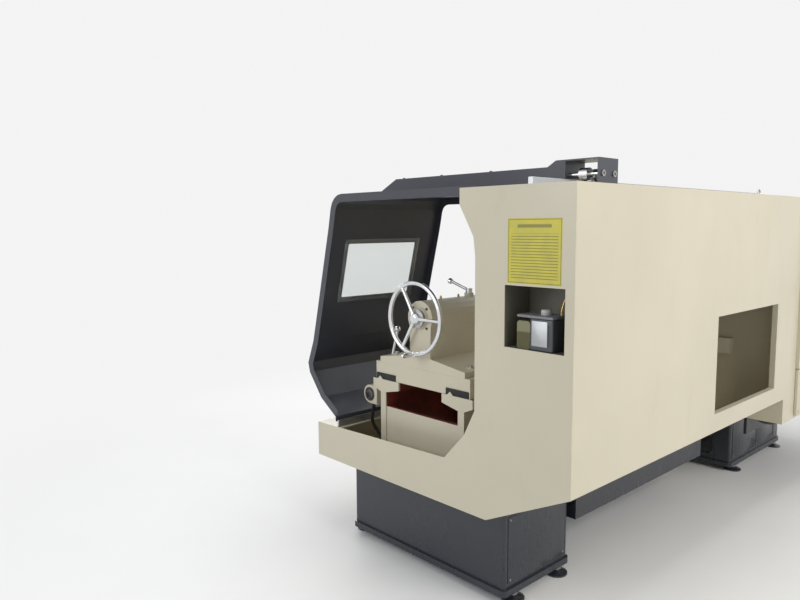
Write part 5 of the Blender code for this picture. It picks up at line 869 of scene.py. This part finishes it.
def head_sheets():
    """The end cover's locks, the head cover's louvres and screws, and the strip that closes the guard's end."""
    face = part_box("end_cover")[0].y - LIFT
    lock = ((0, 0), (0.0105, 0), (0.0105, 0.003), (0.0085, 0.005), (0.0035, 0.005), (0.0035, 0.0035), (0, 0.0035))
    locks = Form()
    for z in (0.45, 0.875, 1.30):
        locks.turned(lock, (-1.515, face, z), -Y, 32)
    locks.piece("cover_locks", fastener, "end_cover", "ground_steel")
    low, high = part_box("head_cover")
    louvres("cover_louvres", "frame", -Y, (-1.24, -0.95), low.y, [0.64 + row * 0.024 for row in range(8)], 0.22)
    spots = [(x, 0.575) for x in (-1.455, -1.10, -0.77, -0.43)]
    spots += [(x, z) for x in (-1.455, -0.43) for z in (0.95, 1.50)]
    bolts("cover_screws", [(x, low.y - 0.0001, z) for x, z in spots], -Y, "frame", 0.0055, 0.0028, "socket")
    guard_low, guard_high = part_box("rear_guard")
    end = guard_low.x - 0.0006
    inner = (end - 0.0024, REAR - 0.4500 + 0.0006, high.z + 0.0004)
    strip = Form().box(inner, (end, high.y - 0.0006, guard_high.z - 0.0004), GAP, 1)
    strip.piece("guard_end_strip", cream, "frame", "cream")


def cabinet_trim():
    """The lifting eyes on the cabinet and its door's gasket."""
    eyes = Form()
    for x in (-1.44, -0.45):
        base = Vector((x, 0.575, 1.6901))
        eyes.turned(((0, 0), (0.017, 0), (0.017, 0.004), (0.010, 0.009), (0, 0.009)), base, Z, 32)
        steps = [2 * math.pi * step / 24 for step in range(25)]
        loop = [base + Vector((0.017 * math.cos(angle), 0, 0.028 + 0.017 * math.sin(angle))) for angle in steps]
        eyes.tube(loop, 0.0048, 14, False)
    bmesh.ops.remove_doubles(eyes.bm, verts=eyes.bm.verts, dist=0.00002)
    eyes.piece("lifting_eyes", fastener, "frame", "ground_steel")
    low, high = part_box("cabinet_door")
    width, height, band = 0.828, 0.888, 0.022
    outlines = rounded_rectangle(width, height, 0.01), rounded_rectangle(width - band, height - band, 0.006)
    centre = Vector(((-1.422 - 0.5703) / 2, 0.7769, (low.z + high.z) / 2))
    gasket = Form().frame(*outlines, -0.0012, 0.010, centre, X, Z, Y)
    gasket.piece("door_gasket", rubber, "cabinet_door", "rubber")


# Carriage and screws


def carriage():
    """The saddle's wipers, plates and screws, its apron plate, the motors' plugs and the brackets' caps."""
    low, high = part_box("saddle")
    wipers("saddle_wipers", "saddle", "carriage", 0.080, 0.032, GAP, 0.0050)
    plates = Form()
    foot, head, half = WAY_TOP + 0.019, WAY_TOP + 0.032, 0.080
    for x, out in ((low.x, -X), (high.x, X)):
        for middle in (AXIS_Y - WAY_MIDDLE, AXIS_Y + WAY_MIDDLE):
            left, right = middle - half, middle + half
            outline = ((left, foot), (right, foot), (right, head), (left, head))
            plates.outline(outline, 0.0052, 0.0072, Vector((x, 0, 0)), Y, Z, out, 0.0005)
            for y in (middle - 0.060, middle, middle + 0.060):
                plates.bolt(Vector((x, y, WAY_TOP + 0.0255)) + out * 0.0073, out, 0.0035, 0.002, "socket")
    plates.piece("wiper_plates", steel, "carriage", "ground_steel")
    sides, top = (low.x + 0.025, high.x - 0.025), WAY_TOP + 0.0851
    places = [(x, y, top) for x in sides for y in (-0.46, -0.30, -0.12, 0.04, 0.20)]
    bolts("saddle_screws", places, Z, "carriage", 0.0075, 0.006, "socket", dark_steel)
    face = Vector(((low.x + high.x) / 2, -0.5373, 0.715))
    apron = Form().outline(rounded_rectangle(0.250, 0.120, 0.008), 0, 0.004, face, X, Z, -Y, 0.0008)
    apron.piece("apron_plate", cream, "carriage", "cream")
    places = [face + Vector((x, -0.0041, z)) for x in (-0.112, 0.112) for z in (-0.048, 0.048)]
    bolts("apron_screws", places, -Y, "carriage", 0.0045, 0.0028, "socket", dark_steel)
    plug = ((0, 0), (0.014, 0), (0.014, 0.012), (0.011, 0.014), (0.011, 0.030), (0, 0.030))
    x_motor, z_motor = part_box("x_motor")[0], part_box("z_motor")[0]
    x_place = (centre_of("x_motor").x, x_motor.y + 0.055, x_motor.z + 0.0055)
    Form().turned(plug, x_place, -Z, 28).piece("x_motor_plug", black_plastic, "carriage", "black_plastic")
    z_place = (z_motor.x + 0.085, z_motor.y + 0.0055, centre_of("z_motor").z)
    Form().turned(plug, z_place, -Y, 28).piece("z_motor_plug", black_plastic, "frame", "black_plastic")
    for bracket in ("screw_bracket_tail", "screw_bracket_head"):
        axis = Vector((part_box(bracket)[1].x + LIFT, SCREW_Y, SCREW_Z))
        cap = Form().turned(washer(0.0208, 0.034, 0.0026), axis, X, 40, True)
        for out in around(4, 45):
            cap.bolt(axis + X * 0.0027 + out * 0.028, X, 0.0036, 0.003, "socket")
        cap.piece(bracket + "_cap", dark_steel, "frame", "ground_steel")


def ball_screw_thread():
    """The Z screw with its ball groove wound round it, and plain journals in its two brackets."""
    low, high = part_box("z_screw")
    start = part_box("screw_bracket_head")[1].x + 0.010
    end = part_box("screw_bracket_tail")[0].x - 0.010
    radius, groove, pitch, rows, share_cut = 0.0199, 0.0032, 0.010, 8, 0.64
    count = round((end - start) / pitch * rows)
    threaded = [(start + (end - start) * step / count, groove) for step in range(count + 1)]
    journals = ((low.x, 0), (start - LIFT, 0)), ((end + LIFT, 0), (high.x, 0))
    form = Form()
    rings = []
    for x, depth in (*journals[0], *threaded, *journals[1]):
        points = []
        for angle in angles(24):
            phase = (x / pitch + angle / (2 * math.pi)) % 1.0
            cut = max(0.0, math.sin(math.pi * phase / share_cut)) ** 0.7 if phase < share_cut else 0.0
            out = radius - depth * cut
            points.append((x, SCREW_Y + out * math.cos(angle), SCREW_Z + out * math.sin(angle)))
        rings.append(form.ring(points))
    form.skin(rings, rings[0], rings[-1])
    form.piece("ball_screw_thread", ball_screw, "z_screw", "ground_steel", "z_screw", 50)


def slide_details():
    """Gib screws and oilers of the slides, and the X motor's cable down to the apron."""
    low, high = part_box("cross_slide")
    places = [(high.x + LIFT, low.y + 0.045 + index * 0.054, low.z + 0.044) for index in range(6)]
    bolts("gib_screws", places, X, "cross_slide", 0.0046, 0.0050)
    low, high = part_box("saddle")
    cup = ((0, 0), (0.0055, 0), (0.0055, 0.004), (0.0038, 0.006), (0.0038, 0.009), (0.0022, 0.0105), (0, 0.0108))
    oilers = Form()
    for x in (low.x + 0.052, high.x - 0.052):
        for y in (AXIS_Y - WAY_MIDDLE, AXIS_Y + WAY_MIDDLE):
            oilers.turned(cup, (x, y, WAY_TOP + 0.0852), Z, 24)
    oilers.piece("saddle_oilers", brass, "carriage", "ground_steel")
    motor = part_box("x_motor")[0]
    x = centre_of("x_motor").x
    gland = Vector((x + 0.088, -0.5415, 0.738))
    top = Vector((x, motor.y + 0.055, motor.z - 0.022))
    bend = Vector((x + 0.030, -0.628, 0.732))
    corners = [top, top - Z * 0.045, bend, gland - Y * 0.050, gland - Y * 0.008]
    route = []
    for step in range(25):
        points = corners
        while len(points) > 1:
            points = [one.lerp(two, step / 24) for one, two in zip(points, points[1:])]
        route.append(points[0])
    Form().tube(route, 0.0058, 16).piece("x_motor_cable", rubber, "carriage", "rubber")
    nut = ((0.0062, 0), (0.0115, 0), (0.0115, 0.006), (0.0095, 0.012), (0.0062, 0.0125))
    Form().turned(nut, gland, -Y, 6, True).piece("cable_gland", black_plastic, "carriage", "black_plastic")


# Electrical cabinet


def drives(left, front, head):
    """The two drives' housings with their vents, displays and keys."""
    housings, vents, pads = Form(), Form(), Form()
    plate, foot, skin = front - 0.1700, head - 0.31, 0.0012
    for x, end in ((left + 0.06, left + 0.24), (left + 0.28, left + 0.42)):
        corner = (end + skin, front + 0.0016, head + skin)
        housings.box((x - skin, plate + 0.004, foot - skin), corner, 0.004, 3)
        for row in range(9):
            z = head - 0.024 - row * 0.0075
            vents.box((x + 0.016, front + 0.0013, z), (end - 0.016, front + 0.0028, z + 0.0032), 0.0006, 1)
        middle, face = (x + end) / 2, front + 0.0014
        pads.box((middle - 0.032, face, foot + 0.120), (middle + 0.032, face + 0.0030, foot + 0.190), 0.0020)
        for index in range(8):
            u = x + 0.018 + index * (end - x - 0.036) / 7
            pads.box((u - 0.0052, face, foot + 0.014), (u + 0.0052, face + 0.0060, foot + 0.036), 0.0010, 1)
    housings.piece("drive_housings", grey_plastic, "frame", "dark_grey")
    vents.piece("drive_vents", black_plastic, "frame", "black_plastic")
    pads.piece("drive_pads", black_plastic, "frame", "black_plastic")


def switchgear(left, front, foot, top):
    """The row of breakers over the row of contactors, and the transformer."""
    breakers, toggles, contactors = Form(), Form(), Form()
    back = front - 0.1670
    for index in range(5):
        x = left + 0.48 + index * 0.056
        y = front - 0.0950
        breakers.box((x - 0.001, back, top - 0.321), (x + 0.045, y + 0.0015, top - 0.239), 0.0022)
        breakers.box((x + 0.001, y, top - 0.298), (x + 0.043, y + 0.0085, top - 0.262), 0.0022)
        toggles.box((x + 0.012, y + 0.008, top - 0.286), (x + 0.032, y + 0.0170, top - 0.274), 0.0018)
        y = front - 0.1050
        contactors.box((x - 0.001, back, foot + 0.239), (x + 0.045, y + 0.0015, foot + 0.331), 0.0022)
        contactors.box((x + 0.006, y, foot + 0.262), (x + 0.038, y + 0.0100, foot + 0.308), 0.0022)
    breakers.piece("breakers", pale_plastic, "frame", "black_plastic")
    toggles.piece("breaker_toggles", black_plastic, "frame", "black_plastic")
    contactors.piece("contactors", black_plastic, "frame", "black_plastic")
    x, end, y = left + 0.06, left + 0.20, front - 0.0400
    core = Form()
    for skin, low, high in ((0.001, 0.059, 0.081), (0.001, 0.159, 0.181), (0.0006, 0.0805, 0.1595)):
        proud = y + (0.0012 if skin == 0.001 else skin)
        core.box((x - skin, back, foot + low), (end + skin, proud, foot + high), 0.001)
    core.piece("transformer_core", dark_steel, "frame", "ground_steel")
    coil = Form().box((x + 0.012, y - 0.002, foot + 0.084), (end - 0.012, y + 0.0120, foot + 0.156), 0.006, 3)
    coil.piece("transformer_coil", yellow_plastic, "frame", "dark_grey")


def terminals_and_ducts(left, right, front, foot, top):
    """The strip of terminals along the foot and the slotted wiring ducts."""
    plain, earth, marked, ducts = Form(), Form(), Form(), Form()
    first, count, y = left + 0.462, 34, front - 0.1250
    step = (right - 0.042 - first) / count
    for index in range(count):
        form = earth if index % 11 == 4 else marked if index % 17 == 9 else plain
        x = first + index * step
        form.box((x, y - 0.003, foot + 0.058), (x + step - 0.0008, y + 0.0065, foot + 0.102), 0.0008, 1)
    plain.piece("terminals_plain", grey_plastic, "frame", "dark_grey")
    earth.piece("terminals_earth", yellow_plastic, "frame", "dark_grey")
    marked.piece("terminals_marked", green_plastic, "frame", "dark_grey")
    plate, start, end = front - 0.1700, left + 0.03, right - 0.02
    count = int((end - start) / 0.0125)
    for z in (foot + 0.195, top - 0.385, foot + 0.018):
        ducts.box((start, plate + 0.0006, z), (end, plate + 0.0030, z + 0.030))
        ducts.box((start, plate + 0.0440, z - 0.001), (end, plate + 0.0460, z + 0.031), 0.0006, 1)
        for index in range(count):
            x = start + index * (end - start) / count
            for edge in (z, z + 0.0288):
                ducts.box((x, plate + 0.0028, edge), (x + 0.0072, plate + 0.0442, edge + 0.0012))
    ducts.piece("wiring_ducts", grey_plastic, "frame", "dark_grey")


def wires(left, front, foot, top):
    """Wires from the breakers and the contactors into the ducts."""
    plate = front - 0.1700
    kinds = (("red", red_plastic, Form()), ("black", black_plastic, Form()), ("green", green_plastic, Form()))
    for index in range(10):
        x = left + 0.489 + (index // 2) * 0.056 + (index % 2) * 0.024
        form = kinds[(index * 2 + index // 3) % 3][2]
        start, end = Vector((x, front - 0.0985, top - 0.3205)), Vector((x, plate + 0.032, top - 0.3560))
        form.tube((start + Z * 0.004, start - Z * 0.010 - Y * 0.002, start - Z * 0.022 - Y * 0.014, end), 0.0016, 10)
        start, end = Vector((x, front - 0.1085, foot + 0.2395)), Vector((x, plate + 0.030, foot + 0.2240))
        form.tube((start + Z * 0.003, start - Z * 0.006 - Y * 0.004, end), 0.0016, 10)
    for name, graph, form in kinds:
        form.piece("wires_" + name, graph, "frame", "dark_grey")


# Motor, pump, pedestals and drain


def machinery():
    """The main motor's grille and terminal boxes, the feet's nuts, the pedestals' covers and the drain's strainer."""
    tail = Vector((-0.807, 0.55, 0.42))
    cowl = ((0.112, 0.0005), (0.108, 0.0045), (0.100, 0.006), (0.030, 0.006), (0.030, 0.004), (0.100, 0.004))
    grille = Form().turned((*cowl, (0.108, 0.0025)), tail, X, 64, True)
    for out in around(12):
        grille.tube([tail + X * 0.0052, tail + X * 0.0052 + out * 0.1], 0.0018, 8)
    grille.piece("fan_grille", dark_grey, "frame", "dark_grey")
    box = Form().box((-1.02, tail.y + 0.020, tail.z + 0.112), (-0.92, tail.y + 0.100, tail.z + 0.160), 0.006)
    box.piece("terminal_box", dark_grey, "frame", "dark_grey")
    x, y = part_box("coolant_pump")[0].x, centre_of("coolant_pump").y
    box = Form().box((x + 0.07, y - 0.10, 0.272), (x + 0.14, y - 0.052, 0.332), 0.005)
    box.piece("pump_terminal_box", dark_grey, "frame", "dark_grey")
    nuts = Form()
    for pedestal in ("pedestal_tail", "pedestal_head"):
        low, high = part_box(pedestal)
        for x in (low.x + 0.080, high.x - 0.080):
            for y in (0.402, -0.537):
                nuts.turned(washer(0.0142, 0.0205, 0.0085), (x, y, 0.0208), Z, 6, True)
    nuts.piece("foot_nuts", fastener, "frame", "ground_steel")
    plates, screws = Form(), Form()
    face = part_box("pedestal_head")[1].y - 0.042
    for left, right in ((-1.440, -1.350), (-1.345, -1.050), (-1.045, -0.670), (1.165, 1.565)):
        plates.box((left, face + GAP, 0.078), (right, face + 0.0023, 0.362), 0.0008)
        for x in (left + 0.014, right - 0.014):
            for z in (0.092, 0.348):
                screws.bolt((x, face + 0.0024, z), Y, 0.0042, 0.0022, "socket")
    plates.piece("pedestal_covers", pedestal_paint, "frame", "black")
    screws.piece("pedestal_cover_screws", fastener, "frame", "ground_steel")
    drain = Vector((0.45, 0.295, 0.3835))
    strainer = Form().turned(washer(0.048, 0.060, 0.002), drain, Z, 48, True)
    for index in range(-4, 5):
        offset = index * 0.010
        middle, reach = drain + X * offset + Z * 0.001, Y * math.sqrt(0.050**2 - offset**2)
        strainer.tube([middle - reach, middle + reach], 0.0012, 8)
    strainer.piece("drain_strainer", zinc, "frame", "galvanised")


def dress():
    """Every fine piece, from the tail end to the pedestals."""
    handwheel()
    graduated_collar()
    tailstock_details()
    lubricator()
    hood_details()
    turret()
    chuck()
    control_box()
    cabinet_sheets()
    head_sheets()
    cabinet_trim()
    carriage()
    ball_screw_thread()
    slide_details()
    low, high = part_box("control_gear")
    drives(low.x, high.y, high.z - 0.03)
    switchgear(low.x, high.y, low.z, high.z)
    terminals_and_ducts(low.x, high.x, high.y, low.z, high.z)
    wires(low.x, high.y, low.z, high.z)
    machinery()


# Floor, lights and camera

CAMERA = (3.708, 2.094, 1.540)
YAW = math.radians(-132.67)
PITCH = math.radians(6.07)
ROLL = math.radians(-0.31)
FOCAL_PIXELS = 690
FRAME_PIXELS = 800
SENSOR = 36
BACKDROP = (0.90, 0.90, 0.90, 1)
FLOOR_DROP = 0.0006
FADE = (1.4, 4.6)


def placed(name, data, place, turn):
    obj = bpy.data.objects.new(name, data)
    obj.location = place
    obj.rotation_euler = turn.to_euler()
    bpy.context.scene.collection.objects.link(obj)
    return obj


def camera():
    """The photograph's own viewpoint and field of view."""
    data = bpy.data.cameras.new("camera")
    data.sensor_fit = "HORIZONTAL"
    data.sensor_width = SENSOR
    data.lens = SENSOR * FOCAL_PIXELS / FRAME_PIXELS
    ahead = X * math.cos(YAW) + Y * math.sin(YAW)
    look = ahead * math.cos(PITCH) - Z * math.sin(PITCH)
    turn = look.to_track_quat("-Z", "Y") @ Quaternion(Z, ROLL)
    bpy.context.scene.camera = placed("camera", data, CAMERA, turn)


def lamp(name, place, target, size, power, colour):
    data = bpy.data.lights.new(name, "AREA")
    data.shape = "RECTANGLE"
    data.size, data.size_y = size
    data.energy = power
    data.color = colour
    placed(name, data, place, (Vector(target) - Vector(place)).to_track_quat("-Z", "Y"))


def seen_directly(tree):
    """1 for camera, glossy and transmission rays, 0 for the rays that only carry light."""
    path = tree.nodes.new("ShaderNodeLightPath")
    total = path.outputs["Is Camera Ray"]
    for name in ("Is Glossy Ray", "Is Transmission Ray"):
        node = tree.nodes.new("ShaderNodeMath")
        node.operation = "MAXIMUM"
        tree.links.new(total, node.inputs[0])
        tree.links.new(path.outputs[name], node.inputs[1])
        total = node.outputs[0]
    return total


def studio():
    """A pale backdrop that only the camera sees, a dim sky, and four soft lamps."""
    world = bpy.data.worlds.new("studio")
    bpy.context.scene.world = world
    world.use_nodes = True
    tree = world.node_tree
    tree.nodes.clear()
    mix = tree.nodes.new("ShaderNodeMixShader")
    tree.links.new(seen_directly(tree), mix.inputs[0])
    for socket, colour, strength in ((1, (0.92, 0.95, 1.0, 1), 0.42), (2, BACKDROP, 1.0)):
        node = tree.nodes.new("ShaderNodeBackground")
        node.inputs["Color"].default_value = colour
        node.inputs["Strength"].default_value = strength
        tree.links.new(node.outputs[0], mix.inputs[socket])
    tree.links.new(mix.outputs[0], tree.nodes.new("ShaderNodeOutputWorld").inputs["Surface"])
    lamp("key", (0.5, 5.2, 3.6), (0.2, 0.4, 0.8), (4.5, 2.4), 190, (1.0, 0.98, 0.95))
    lamp("end_fill", (5.6, -0.8, 2.8), (1.2, 0.0, 0.9), (2.6, 2.2), 68, (0.95, 0.97, 1.0))
    lamp("front_fill", (-0.5, -5.2, 3.2), (-0.2, -0.4, 0.9), (4.5, 2.4), 135, (1.0, 0.99, 0.97))
    lamp("top", (0, 0, 5.2), (0, 0, 0.8), (4.5, 3.0), 95, (1.0, 1.0, 1.0))


def floor():
    """A pale floor that keeps the shadows and fades into the backdrop away from the lathe."""
    bm = bmesh.new()
    bmesh.ops.create_grid(bm, x_segments=1, y_segments=1, size=30)
    mesh = bpy.data.meshes.new("floor")
    bm.to_mesh(mesh)
    bm.free()
    obj = placed("floor", mesh, (0, 0, -FLOOR_DROP), Quaternion())
    g = Graph("pale_floor", (0.80, 0.80, 0.79), 0.62)
    g.to("Base Color", g.mix(g.ramp(g.noise(0.9, 4), 0.3, 0.7), (0.82, 0.82, 0.81), (0.77, 0.77, 0.76)))
    g.to("Normal", g.bump(g.noise(60, 3), 0.10, 0.001))
    x, y, z = g.split()
    far = g.ramp(g.length(x, y), *FADE, interpolation_type="SMOOTHSTEP")
    glow = g.node("ShaderNodeEmission", {"Color": BACKDROP}).outputs[0]
    share = g.product(far, seen_directly(g.tree))
    mix = g.node("ShaderNodeMixShader", {0: share, 1: g.shader.outputs[0], 2: glow}).outputs[0]
    g.tree.links.new(mix, g.tree.nodes["Material Output"].inputs["Surface"])
    mesh.materials.append(g.material)


dress()
camera()
studio()
floor()
bpy.context.scene.view_settings.view_transform = "Standard"
